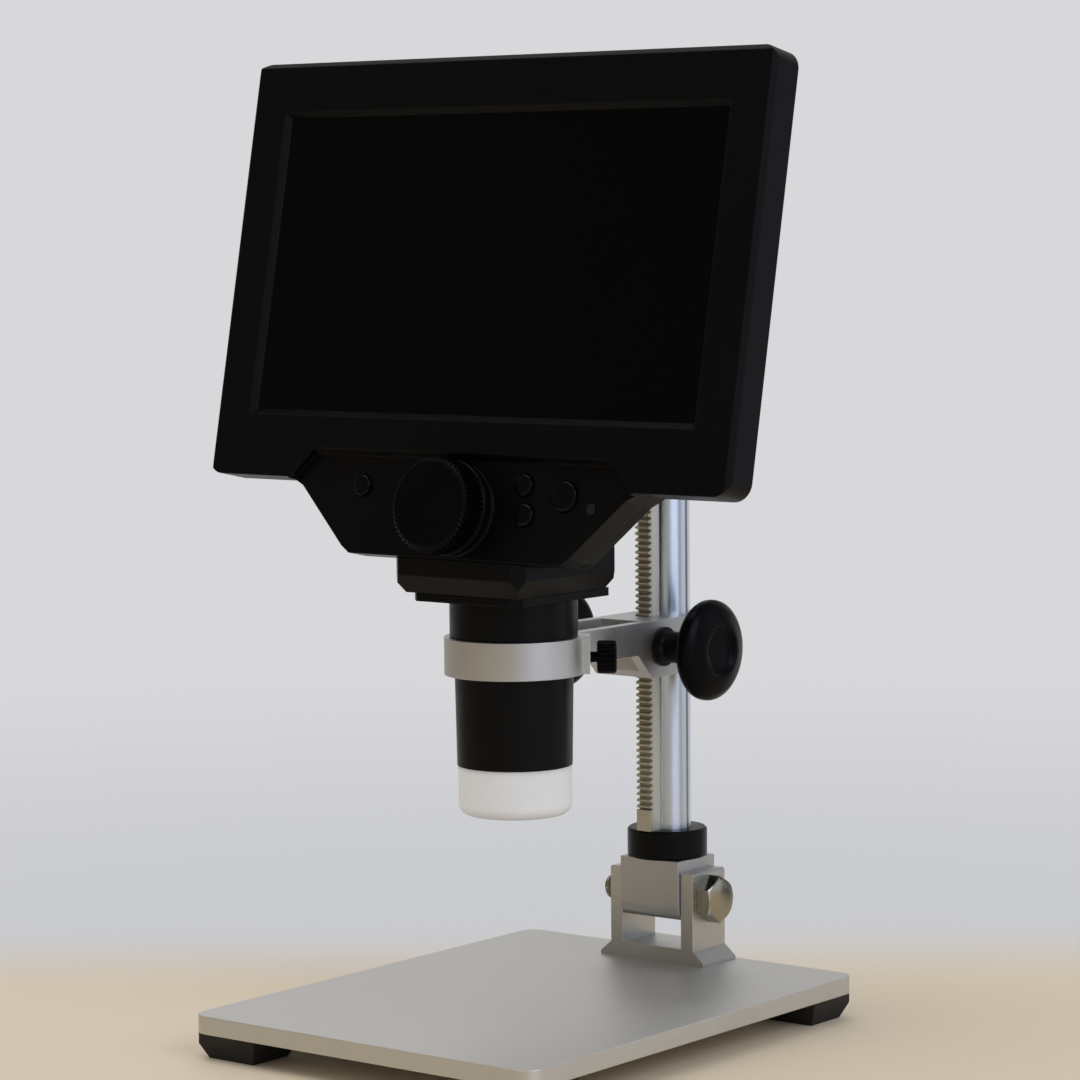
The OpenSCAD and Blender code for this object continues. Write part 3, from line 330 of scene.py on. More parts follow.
@dataclass(frozen=True)
class Ground(Finish):
    """Bar ground round its girth: what it mirrors is drawn out along the bar and stays crisp across it."""

    smear: float = 0.9

    def special(self, tree: bpy.types.NodeTree, shader: bpy.types.Node, coords: bpy.types.NodeSocket) -> None:
        """Stretch the reflection along the object's Z axis."""
        shader.inputs["Anisotropic"].default_value = self.smear
        upright = add(tree, "ShaderNodeCombineXYZ", {2: 1.0}).outputs[0]
        to_world = {"vector_type": "VECTOR", "convert_from": "OBJECT", "convert_to": "WORLD"}
        along = add(tree, "ShaderNodeVectorTransform", to_world, {0: upright})
        tree.links.new(along.outputs[0], shader.inputs["Tangent"])


@dataclass(frozen=True)
class CircuitBoard(Coated):
    """Glass-fibre board: copper tracks show as paler lines under green solder resist."""

    cell_mm: float = 3.0
    disorder: float = 0.8
    track: str = "#2F8A4E"
    track_edge: tuple[float, float] = (0.05, 0.09)

    def special(self, tree: bpy.types.NodeTree, shader: bpy.types.Node, coords: bpy.types.NodeSocket) -> None:
        """Draw tracks as the borders of loose cells under the coat."""
        super().special(tree, shader, coords)
        scale = 1.0 / (self.cell_mm * MM)
        look = {"feature": "DISTANCE_TO_EDGE", "Scale": scale, "Randomness": self.disorder}
        cells = add(tree, "ShaderNodeTexVoronoi", look, {"Vector": coords})
        border = ramp(tree, cells.outputs["Distance"], self.track_edge, (1.0, 0.0))
        tones = {"data_type": "RGBA", 6: linear(self.color), 7: linear(self.track)}
        color = add(tree, "ShaderNodeMix", tones, {0: border})
        tree.links.new(color.outputs[2], shader.inputs["Base Color"])


# Blasted with fine grit and clear anodised: soft, even, slightly sparkling grey.
BLASTED = Finish(
    "blasted_aluminium", "#CFCDC8", 1.0, 0.48, grain_mm=0.5, grain_um=14, grain_rough=0.06, grain_tone=0.05,
    patch_mm=55, patch_tone=0.035, patch_rough=0.04, edge_wear_and_highlight=0.35, edge_mm=0.5,
)
# Milled and tumbled: short cutter marks along X, soft bright edges.
MILLED = Finish(
    "milled_aluminium", "#C1C0BE", 1.0, 0.46, grain=Grain.ALONG_X, grain_mm=0.25, stretch=12, grain_um=7,
    grain_rough=0.08, grain_tone=0.03, patch_mm=18, patch_tone=0.05, edge_wear_and_highlight=0.25, edge_mm=0.3,
)
# Sawn from an extruded channel: drawn lines along the channel.
EXTRUDED = Finish(
    "extruded_aluminium", "#C0BFBA", 1.0, 0.36, grain=Grain.ALONG_Y, grain_mm=0.3, stretch=25, grain_um=8,
    grain_rough=0.08, grain_tone=0.04, patch_mm=16, patch_tone=0.05, edge_wear_and_highlight=0.3, edge_mm=0.3,
)
# Centreless ground and polished steel for the post.
GROUND = Ground(
    "ground_steel", "#C7CED8", 1.0, 0.26, grain=Grain.ALONG_Z, grain_mm=0.3, stretch=80, grain_um=1.0,
    grain_rough=0.04, grain_tone=0.02, patch_mm=40, patch_tone=0.03, patch_rough=0.02,
)
# Cold drawn and polished steel for the shafts: a mirror with faint lines.
DRAWN = Finish(
    "drawn_steel", "#C7CED8", 1.0, 0.14, grain=Grain.ALONG_Z, grain_mm=0.3, stretch=80, grain_um=1.5,
    grain_rough=0.05, grain_tone=0.02, patch_mm=40, patch_tone=0.03, patch_rough=0.04,
)
# Hobbed steel with a film of grease on its teeth: darker and warmer than the post.
RACK = Hobbed(
    "hobbed_rack", "#B9B19B", 0.6, 0.4, grain=Grain.ALONG_X, grain_mm=0.15, stretch=20, grain_um=4,
    grain_rough=0.08, grain_tone=0.06, patch_mm=9, patch_tone=0.14, patch_rough=0.08,
)
# Bright zinc plate with a faint yellow pass: smooth, a little wavy.
ZINC = Finish(
    "zinc_plate", "#A6A18C", 1.0, 0.3, grain_mm=0.9, grain_um=9, grain_rough=0.04, grain_tone=0.03,
    patch_mm=6, patch_tone=0.06, edge_wear_and_highlight=0.2, edge_mm=0.25,
)
# Forged bolt with a thin clear zinc: each flat shines at its own angle.
BOLT = Finish(
    "zinc_bolt", "#A09B8A", 1.0, 0.2, grain_mm=0.7, grain_um=6, grain_rough=0.05, grain_tone=0.04,
    patch_mm=5, patch_tone=0.08, edge_wear_and_highlight=0.3, edge_mm=0.25,
)
# Black oxide on steel: dark, oily and slightly brown.
OXIDE = Finish("black_oxide", "#2A2826", 1.0, 0.4, grain_mm=0.2, grain_um=3, patch_mm=3, patch_tone=0.15)
# Moulded rubber: dull, with a talcum haze.
RUBBER = Finish(
    "foot_rubber", "#090909", 0.0, 0.72, grain_mm=0.35, grain_um=18, grain_tone=0.2,
    patch_mm=12, patch_tone=0.25, patch_rough=0.1,
)
# Moulded shell with a spark-eroded texture: deep black with a low, broad sheen.
SHELL = Finish(
    "shell_plastic", "#060607", 0.0, 0.36, 1.2, grain_mm=0.45, grain_um=7, grain_rough=0.06, grain_tone=0.12,
    patch_mm=45, patch_tone=0.12, patch_rough=0.05, edge_wear_and_highlight=1.2, edge_mm=0.6,
)
# Smooth moulded knobs and wheel: black with a soft gloss.
KNOB = Finish(
    "knob_plastic", "#060608", 0.0, 0.3, 1.15, grain_mm=0.6, grain_um=4, grain_rough=0.05,
    patch_mm=9, patch_tone=0.15, patch_rough=0.07,
)
# Turned aluminium, anodised black: a fine grain and a metallic sheen.
ANODISED = Finish(
    "anodised_barrel", "#0C0C0D", 0.1, 0.34, 1.2, grain=Grain.ALONG_X, grain_mm=0.22, stretch=1, grain_um=3,
    grain_rough=0.06, grain_tone=0.1, patch_mm=14, patch_tone=0.12, edge_wear_and_highlight=0.8, edge_mm=0.4,
)
# Milky acrylic cap.
MILKY = Diffuser(
    "milky_acrylic", "#F0F1F1", 0.0, 0.42, 1.49, grain_mm=0.5, grain_um=6, patch_mm=12, patch_tone=0.015
)
# Dark tinted pane, hard and clean.
PANE = Finish(
    "tinted_pane", "#030304", 0.0, 0.08, 1.2, grain_mm=4.0, grain_um=0.4, grain_rough=0.01,
    patch_mm=60, patch_tone=0.1, patch_rough=0.02,
)
LENS = Clear(
    "ground_lens", "#DCE8F0", 0.0, 0.02, 1.52, grain_mm=2.0, grain_um=0.2, grain_rough=0.0, patch_rough=0.01
)
# Smoke-coloured light pipe, unlit: a dull grey dot.
LIGHT_PIPE = Finish(
    "smoked_light_pipe", "#171817", 0.0, 0.4, 1.3, grain_mm=0.5, grain_um=3.0, patch_rough=0.03
)
# Polished button caps: black, with a bright line along the rolled rim.
BUTTON = Finish(
    "polished_button", "#060607", 0.0, 0.12, 1.22, grain_mm=0.8, grain_um=2, grain_rough=0.03,
    patch_mm=6, patch_tone=0.12, patch_rough=0.04,
)
PANEL = Coated("screen_panel", "#0A0B0F", 0.0, 0.3, grain_mm=0.3, grain_um=1.0)
BOARD = CircuitBoard(
    "glass_fibre_board", "#0B4A22", 0.0, 0.4, grain_mm=0.5, grain_um=5.0, coat=0.6, coat_rough=0.12
)
EMITTER = Coated(
    "lamp_emitter", "#E8D98A", 0.0, 0.35, grain_mm=0.3, grain_um=6.0, patch_mm=1.5, patch_tone=0.1, coat=0.8
)
FOIL = Finish("battery_foil", "#8FA0B4", 0.6, 0.4, grain_mm=3.0, grain_um=120, patch_mm=12, patch_tone=0.1)
NYLON = Finish("nylon_pad", "#DAD6C8", 0.0, 0.5, 1.53, grain_mm=0.3, grain_um=5.0)


# ---------------------------------------------------------------- surfaces


AXIS_R = 0.01  # a profile's ends stop this far from its axis, in millimetres
LEG_SHARE = 0.45  # the share of a leg that a rounded corner may take
MERGE_M = 1e-7  # points closer than this become one


def rounded(points: list[tuple[float, float]], reach: float | list[float], steps: int = 5) -> np.ndarray:
    """Round each inner corner of a polyline.

    Each corner p becomes the curve (1-u)^2 a + 2u(1-u) p + u^2 b. There a and b lie on its two legs at the
    given reach from p, or at a share of the shorter leg where that is less.

    Args:
        points: The polyline's corners.
        reach: How far from a corner its curve begins, one value or one per inner corner.
        steps: Points per corner.

    Returns:
        Array of the rounded polyline's points.
    """
    p = np.asarray(points, float)
    mid, back, ahead = p[1:-1], p[:-2] - p[1:-1], p[2:] - p[1:-1]
    length_back = np.linalg.norm(back, axis=1)
    length_ahead = np.linalg.norm(ahead, axis=1)
    span = np.minimum(np.broadcast_to(reach, len(mid)), LEG_SHARE * np.minimum(length_back, length_ahead))
    a = mid + back * (span / length_back)[:, None]
    b = mid + ahead * (span / length_ahead)[:, None]
    u = np.linspace(0.0, 1.0, steps)[None, :, None]
    curve = (1 - u) ** 2 * a[:, None] + 2 * u * (1 - u) * mid[:, None] + u**2 * b[:, None]
    return np.vstack([p[:1], curve.reshape(-1, 2), p[-1:]])


def revolved(
    profile: np.ndarray,
    columns: int,
    shape: Callable[[np.ndarray, np.ndarray, np.ndarray], np.ndarray] | None = None,
) -> np.ndarray:
    """Carry a profile of (radius, height) once round the Z axis: (s, t) -> (r cos t, r sin t, h).

    Args:
        profile: Rows of radius and height.
        columns: Steps round the axis.
        shape: Optional change of the radius, given radius, height and angle as arrays.

    Returns:
        Grid of points, rows by columns by 3.
    """
    angle = np.linspace(0.0, 2 * np.pi, columns, endpoint=False)[None, :]
    radius = np.repeat(profile[:, :1], columns, axis=1)
    height = np.repeat(profile[:, 1:], columns, axis=1)
    if shape is not None:
        radius = shape(radius, height, angle)
    return np.stack([radius * np.cos(angle), radius * np.sin(angle), height], axis=2)


def aimed(points: np.ndarray, origin: Vec3, axis: Vec3) -> np.ndarray:
    """Turn points so that their Z axis lies along an axis, then move them to an origin.

    Args:
        points: Points in millimetres, last dimension 3.
        origin: Where the local origin goes, in millimetres.
        axis: Direction of the local Z axis.

    Returns:
        The points, in metres.
    """
    z = np.asarray(axis, float) / np.linalg.norm(axis)
    # a helper direction that is well away from the axis
    helper = np.array([0.0, 0.0, 1.0]) if abs(z[2]) < 0.9 else np.array([1.0, 0.0, 0.0])
    x = np.cross(helper, z)
    x /= np.linalg.norm(x)
    turn = np.stack([x, np.cross(z, x), z], axis=0)
    return (points @ turn + np.asarray(origin, float)) * MM


def skinned(name: str, points: np.ndarray, sharp_deg: float = 40.0) -> bpy.types.Object:
    """Make a closed mesh from a grid that wraps round its columns; each end row is closed with one face.

    Args:
        name: The new object's name.
        points: Grid of points in metres, rows by columns by 3.
        sharp_deg: Edges that turn more than this stay sharp.

    Returns:
        The new object.
    """
    rows, columns = points.shape[:2]
    index = np.arange(rows * columns).reshape(rows, columns)
    right = np.roll(index, -1, axis=1)
    quads = np.stack([index[:-1], right[:-1], right[1:], index[1:]], axis=2).reshape(-1, 4)
    faces = quads.tolist() + [index[0, ::-1].tolist(), index[-1].tolist()]
    mesh = bpy.data.meshes.new(name)
    mesh.from_pydata(points.reshape(-1, 3).tolist(), [], faces)
    body = bmesh.new()
    body.from_mesh(mesh)
    bmesh.ops.remove_doubles(body, verts=body.verts, dist=MERGE_M)
    bmesh.ops.recalc_face_normals(body, faces=body.faces)
    body.to_mesh(mesh)
    body.free()
    mesh.shade_smooth()
    mesh.set_sharp_from_angle(angle=math.radians(sharp_deg))
    obj = bpy.data.objects.new(name, mesh)
    bpy.context.scene.collection.objects.link(obj)
    return obj


def place(obj: bpy.types.Object, body: str, slot: str, finish: Finish, *nodes: str) -> None:
    """Give a new piece its finish and body, and let it stand for the CAD nodes it shows better.

    Args:
        obj: The piece.
        body: The CAD body it rides on.
        slot: The record's material slot; not used.
        finish: Its finish.
        nodes: CAD nodes that it replaces.
    """
    obj.data.materials.clear()
    obj.data.materials.append(finish.build())
    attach(obj, body)
    if nodes:
        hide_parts(*nodes)
    LOG.info("%s rides on %s in %s", obj.name, body, finish.name)


def stand_at(obj: bpy.types.Object, x: np.ndarray, y: np.ndarray, z: np.ndarray, at: Vec3) -> None:
    """Link a camera or a lamp, placed by the directions of its axes and by its origin.

    Args:
        obj: The camera or lamp.
        x: Direction of its X axis.
        y: Direction of its Y axis.
        z: Direction of its Z axis, which it looks against.
        at: Its origin in metres.
    """
    turn = np.eye(4)
    turn[:3] = np.stack([x, y, z, np.asarray(at)], axis=1)
    obj.matrix_world = Matrix(turn.tolist())
    bpy.context.scene.collection.objects.link(obj)


def dress(finish: Finish, *nodes: str) -> None:
    """Give CAD nodes a finish.

    Args:
        finish: The finish.
        nodes: Names of the nodes.
    """
    for node in nodes:
        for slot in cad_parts[node].material_slots:
            slot.material = finish.build()
        LOG.info("%s dressed in %s", node, finish.name)


# ---------------------------------------------------------------- the stand


@dataclass
class Base:
    """Aluminium plate on four rubber feet."""

    def build(self) -> None:
        """Dress the plate, its feet and the screws below."""
        dress(BLASTED, "base_plate")
        dress(RUBBER, "base_feet")
        dress(OXIDE, "foot_screws", "bracket_screws")


@dataclass
class HingeBracket:
    """Channel bracket, hinge block and the bolt that clamps them."""

    axis: tuple[float, float] = (64.2, 31.0)
    leg_out: float = 14.7
    across_flats: float = 12.0
    head_t: float = 4.6
    head_foot: float = 0.1
    head_crown: float = 0.06
    top_share: float = 0.97
    chamfer_r: float = 5.9
    chamfer_deg: float = 30.0
    bolt_r: float = 4.0
    bolt_end: float = 5.8
    thread_pitch: float = 1.25
    thread_depth: float = 0.62
    thread_lead: float = 0.9
    thread_least: float = 0.25
    rows_per_pitch: int = 10

    def hexagon(self, angle: np.ndarray) -> np.ndarray:
        """Radius of a hexagon with a flat at angle 0: half the width over flats / cos(angle off a flat)."""
        off = np.mod(angle + np.pi / 6, np.pi / 3) - np.pi / 6
        return self.across_flats / 2 / np.cos(off)

    def head(self) -> np.ndarray:
        """Hexagonal bolt head whose outer corners are cut back by a cone.

        The side ends lower by tan(chamfer_deg) times how far the hexagon reaches past the chamfer's circle.

        Returns:
            Grid of points in millimetres, rows by columns by 3.
        """
        angle = np.linspace(0.0, 2 * np.pi, 72, endpoint=False)[None, :]
        side = self.hexagon(angle)
        drop = np.maximum(0.0, side - self.chamfer_r) * math.tan(math.radians(self.chamfer_deg))
        rows = [
            (side - self.head_foot, np.zeros_like(side)),
            (side, np.full_like(side, self.head_foot)),
            (side, self.head_t - 2 * self.head_crown - drop),
            (np.minimum(side, self.chamfer_r), np.full_like(side, self.head_t - self.head_crown)),
            (np.full_like(side, self.chamfer_r * self.top_share), np.full_like(side, self.head_t)),
        ]
        radius = np.vstack([r for r, _ in rows])
        z = np.vstack([h for _, h in rows])
        return np.stack([radius * np.cos(angle), radius * np.sin(angle), z], axis=2)

    def thread(self, length: float) -> np.ndarray:
        """Threaded bolt end: the radius falls by a rounded V whose phase runs one turn per pitch of height.

        Args:
            length: Length of the thread.

        Returns:
            Grid of points in millimetres, rows by columns by 3.
        """
        z = np.linspace(0.0, length, int(length / self.thread_pitch * self.rows_per_pitch))
        lead = np.clip((length - z) / self.thread_lead, self.thread_least, 1.0)
        profile = np.stack([np.full_like(z, self.bolt_r), z], axis=1)

        def shape(radius: np.ndarray, height: np.ndarray, angle: np.ndarray) -> np.ndarray:
            """Cut the thread and taper the last turn."""
            phase = np.mod(height / self.thread_pitch - angle / (2 * np.pi), 1.0)
            groove = np.abs(phase - 0.5) * 2.0
            taper = (1.0 - np.repeat(lead[:, None], angle.shape[1], axis=1)) * self.thread_lead
            return radius - self.thread_depth * groove**1.2 - taper

        return revolved(profile, 48, shape)

    def build(self) -> None:
        """Make the bolt, and dress the bracket and the block."""
        seat = self.leg_out
        y, z = self.axis
        corners = [(AXIS_R, 0.0), (self.bolt_r, 0.0), (self.bolt_r, 2 * seat), (AXIS_R, 2 * seat)]
        shank = revolved(rounded(corners, 0.1), 48)
        for name, points, start, axis_x, sharp_deg in (
            ("bolt_head", self.head(), seat, 1, 25),
            ("bolt_shank", shank, -seat, 1, 40),
            ("bolt_thread", self.thread(self.bolt_end), -seat, -1, 60),
        ):
            piece = skinned(name, aimed(points, (start, y, z), (axis_x, 0, 0)), sharp_deg)
            place(piece, "stand", "zinc_steel", BOLT, "hinge_bolt")
        dress(EXTRUDED, "post_bracket")
        dress(MILLED, "hinge_block")


@dataclass
class Post:
    """Round post with its rack, its collar and its cap."""

    def build(self) -> None:
        """Dress the post's pieces."""
        dress(GROUND, "post_column")
        dress(RACK, "gear_rack")
        dress(KNOB, "post_cap")
        dress(ANODISED, "post_collar")


@dataclass
class Carriage:
    """Milled arm and ring that ride on the post, with bushes and brake."""

    def build(self) -> None:
        """Dress the carriage's pieces."""
        dress(MILLED, "carriage")
        dress(OXIDE, "shaft_bushes", "brake_screw")
        dress(NYLON, "brake_pad")


@dataclass
class Drive:
    """Pinion shaft with a knob at each end."""

    axis: tuple[float, float] = (49.0477, 105.6)
    knob_x: float = 13.0
    hub_r: float = 4.5
    disc_x: float = 23.2
    rim_r: float = 14.3
    dish_r: float = 6.8
    disc_t: float = 7.5

    def profile(self) -> np.ndarray:
        """Knob's section: slim hub, flare, round rim and shallow dish, with each corner rounded.

        Returns:
            Rows of radius and height along the shaft, in millimetres.
        """
        d, top = self.disc_x, self.disc_x + self.disc_t
        corners = [
            (AXIS_R, self.knob_x),
            (self.hub_r, self.knob_x),
            (self.hub_r, d - 2.0),
            (self.hub_r + 1.8, d),
            (self.rim_r - 1.6, d + 0.5),
            (self.rim_r, d + 1.8),
            (self.rim_r, d + 4.2),
            (self.rim_r - 1.8, d + 5.9),
            (self.dish_r + 2.2, top - 0.4),
            (self.dish_r + 0.4, top),
            (self.dish_r - 0.8, top - 1.3),
            (self.dish_r - 2.6, top - 1.8),
            (AXIS_R, top - 1.9),
        ]
        reach = [0.5, 1.2, 1.2, 1.0, 1.2, 1.5, 1.6, 1.8, 0.6, 0.6, 1.0]
        return rounded(corners, reach, 6)

    def build(self) -> None:
        """Make both knobs and dress the shaft."""
        y, z = self.axis
        for side, node in ((1, "knob_right"), (-1, "knob_left")):
            points = aimed(revolved(self.profile(), 96), (0.0, y, z), (side, 0, 0))
            place(skinned(f"{node}_turned", points, 50), "pinion", "black_plastic", KNOB, node)
        dress(DRAWN, "pinion_shaft")


@dataclass
class ClampScrew:
    """Thumbscrew that goes through the ring's boss and presses on the barrel."""

    origin: Vec3 = (0.0, -6.8, 107.3)
    angle_deg: float = 38.0
    stem_from: float = 17.0
    head_from: float = 22.85
    head_l: float = 5.4
    head_r: float = 4.6
    stem_r: float = 1.5
    ribs: int = 18
    rib_depth: float = 0.55

    def build(self) -> None:
        """Turn the stem and the ribbed head as one piece."""
        end = self.head_from + self.head_l
        corners = [
            (AXIS_R, self.stem_from), (self.stem_r, self.stem_from), (self.stem_r, self.head_from),
            (self.head_r - 0.5, self.head_from), (self.head_r, self.head_from + 0.5),
            (self.head_r, end - 0.5), (self.head_r - 0.5, end), (AXIS_R, end - 0.15),
        ]
        profile = rounded(corners, [0.2, 0.15, 0.3, 0.3, 0.3, 0.3], 4)

        def ribbed(radius: np.ndarray, height: np.ndarray, angle: np.ndarray) -> np.ndarray:
            """Lower the rim, from 0.9 mm inside it, between ribs: depth times sin^4 of half their angle."""
            rim = np.clip((radius - self.head_r + 0.9) / 0.6, 0.0, 1.0)
            return radius - self.rib_depth * rim * np.sin(self.ribs / 2 * angle) ** 4

        turn = math.radians(self.angle_deg)
        axis = (math.cos(turn), math.sin(turn), 0.0)
        points = aimed(revolved(profile, self.ribs * 8, ribbed), self.origin, axis)
        place(skinned("clamp_screw_turned", points), "clamp_screw", "black_plastic", KNOB, "clamp_thumbscrew")


# ---------------------------------------------------------------- barrel, neck and head


@dataclass
class Barrel:
    """Black lens barrel with its white lamp cap."""

    axis_y: float = -6.8
    lens_r: float = 5.5
    lens_low: float = 76.4
    lens_high: float = 78.4
    sag_low: float = 0.3
    sag_high: float = 0.18

    def build(self) -> None:
        """Make the lens, whose faces bulge by a sag times 1 - u^2, and dress the barrel and its lamp."""
        across = np.linspace(0.1, 1.0, 10)
        corners = [(AXIS_R, self.lens_low - self.sag_low)]
        corners += [(self.lens_r * u, self.lens_low - self.sag_low * (1 - u * u)) for u in across]
        corners += [(self.lens_r * u, self.lens_high - self.sag_high * u * u) for u in across[::-1]]
        corners += [(AXIS_R, self.lens_high)]
        points = aimed(revolved(np.array(corners), 64), (0.0, self.axis_y, 0.0), (0, 0, 1))
        place(skinned("lens_element", points), "lens_unit", "lens_glass", LENS, "objective_lens")
        dress(ANODISED, "barrel")
        dress(MILKY, "lamp_cap")
        dress(BOARD, "lamp_board")
        dress(EMITTER, "lamps")
        dress(KNOB, "lens_carrier")


@dataclass
class Neck:
    """Moulded neck between the barrel and the head."""

    def build(self) -> None:
        """Dress the neck and what it holds."""
        dress(SHELL, "neck_housing", "step_plate")
        dress(OXIDE, "neck_screws")
        dress(BOARD, "sensor_board")


@dataclass(frozen=True)
class FaceFrame:
    """Frame of the tilted screen face: u across, v up the face, w out of it, in millimetres."""

    face_y: float = -20.4
    face_z: float = 214.5
    tilt_deg: float = 11.5

    def to_world(self, points: np.ndarray) -> np.ndarray:
        """Turn (u, v, w) into metres in the object's frame.

        x = u, y = face_y + v sin(tilt) - w cos(tilt), z = face_z + v cos(tilt) + w sin(tilt).

        Args:
            points: Points in millimetres, last dimension 3.

        Returns:
            The points in metres.
        """
        t = math.radians(self.tilt_deg)
        u, v, w = points[..., 0], points[..., 1], points[..., 2]
        y = self.face_y + v * math.sin(t) - w * math.cos(t)
        z = self.face_z + v * math.cos(t) + w * math.sin(t)
        return np.stack([u, y, z], axis=-1) * MM


FACE = FaceFrame()


@dataclass
class Head:
    """Moulded shells, window and the electronics between them."""

    def build(self) -> None:
        """Dress the shells, the pane and the inner pieces."""
        dress(SHELL, "front_cover", "rear_cover")
        dress(OXIDE, "cover_screws")
        dress(PANE, "window_pane")
        dress(PANEL, "lcd_module")
        dress(BOARD, "main_board", "button_board")
        dress(FOIL, "battery")
        dress(ZINC, "charge_socket", "card_slot")


@dataclass
class Controls:
    """Focus wheel, buttons and light on the chin."""

    wheel_v: float = -65.5
    wheel_w: float = -1.0
    wheel_t: float = 11.0
    wheel_r: float = 13.0
    collar_t: float = 2.9
    ribs: int = 56
    rib_depth: float = 0.7
    face_w: float = -2.5
    button_up: float = 1.2
    button_foot: float = -7.7
    buttons: tuple[tuple[str, float, float, float], ...] = (  # name, radius, u, v
        ("power", 3.0, -34.0, -60.2),
        ("up", 3.0, 22.2, -58.0),
        ("down", 3.0, 23.5, -66.0),
        ("ok", 4.1, 36.2, -60.5),
    )

    def wheel(self) -> np.ndarray:
        """Focus wheel: smooth collar with a groove, then a drum of round ribs with a bevel at its flat front.

        Returns:
            Grid of points in the face frame, in millimetres.
        """
        r, t, c = self.wheel_r, self.wheel_t, self.collar_t
        corners = [
            (AXIS_R, 0.0), (r - 0.5, 0.0), (r, 0.4), (r, c - 0.4), (r - 0.4, c), (r - 0.4, c + 0.2),
            (r, c + 0.6), (r, t - 0.9), (r - 0.9, t - 0.15), (r - 1.25, t - 0.15), (r - 1.5, t), (AXIS_R, t),
        ]
        profile = rounded(corners, [0.3, 0.3, 0.2, 0.2, 0.1, 0.2, 0.4, 0.2, 0.1, 0.15], 5)

        def ribbed(radius: np.ndarray, height: np.ndarray, angle: np.ndarray) -> np.ndarray:
            """Lower the drum between ribs: depth times (half of 1 - cos of their angle)^0.8."""
            rim = np.clip((radius - r + 1.2) / 0.9, 0.0, 1.0) * np.clip((height - c - 0.2) / 0.4, 0.0, 1.0)
            return radius - self.rib_depth * rim * (0.5 - 0.5 * np.cos(self.ribs * angle)) ** 0.8

        return revolved(profile, self.ribs * 10, ribbed)

    def cap(self, radius: float) -> np.ndarray:
        """Button: a short post with a rolled edge and a slightly crowned top.

        Args:
            radius: The button's radius.

        Returns:
            Grid of points in the face frame, in millimetres.
        """
        top = self.face_w + self.button_up
        foot = self.button_foot
        corners = [
            (AXIS_R, foot), (radius, foot), (radius, top - 0.45), (radius - 0.45, top - 0.08),
            (radius * 0.5, top), (AXIS_R, top),
        ]
        return revolved(rounded(corners, [0.1, 0.35, 0.35, 0.3], 5), 48)

    def build(self) -> None:
        """Make the wheel and the four buttons, and dress the rest."""
        shift = np.array([0.0, self.wheel_v, self.wheel_w])
        wheel = skinned("wheel_turned", FACE.to_world(self.wheel() + shift), 45)
        place(wheel, "focus_drive", "black_plastic", KNOB, "focus_wheel")
        for name, radius, u, v in self.buttons:
            points = FACE.to_world(self.cap(radius) + np.array([u, v, 0.0]))
            place(skinned(f"{name}_cap", points), f"{name}_key", "black_plastic", BUTTON, f"{name}_button")
        dress(SHELL, "focus_bush")
        dress(DRAWN, "focus_shaft")
        dress(LIGHT_PIPE, "status_light")


# ---------------------------------------------------------------- studio


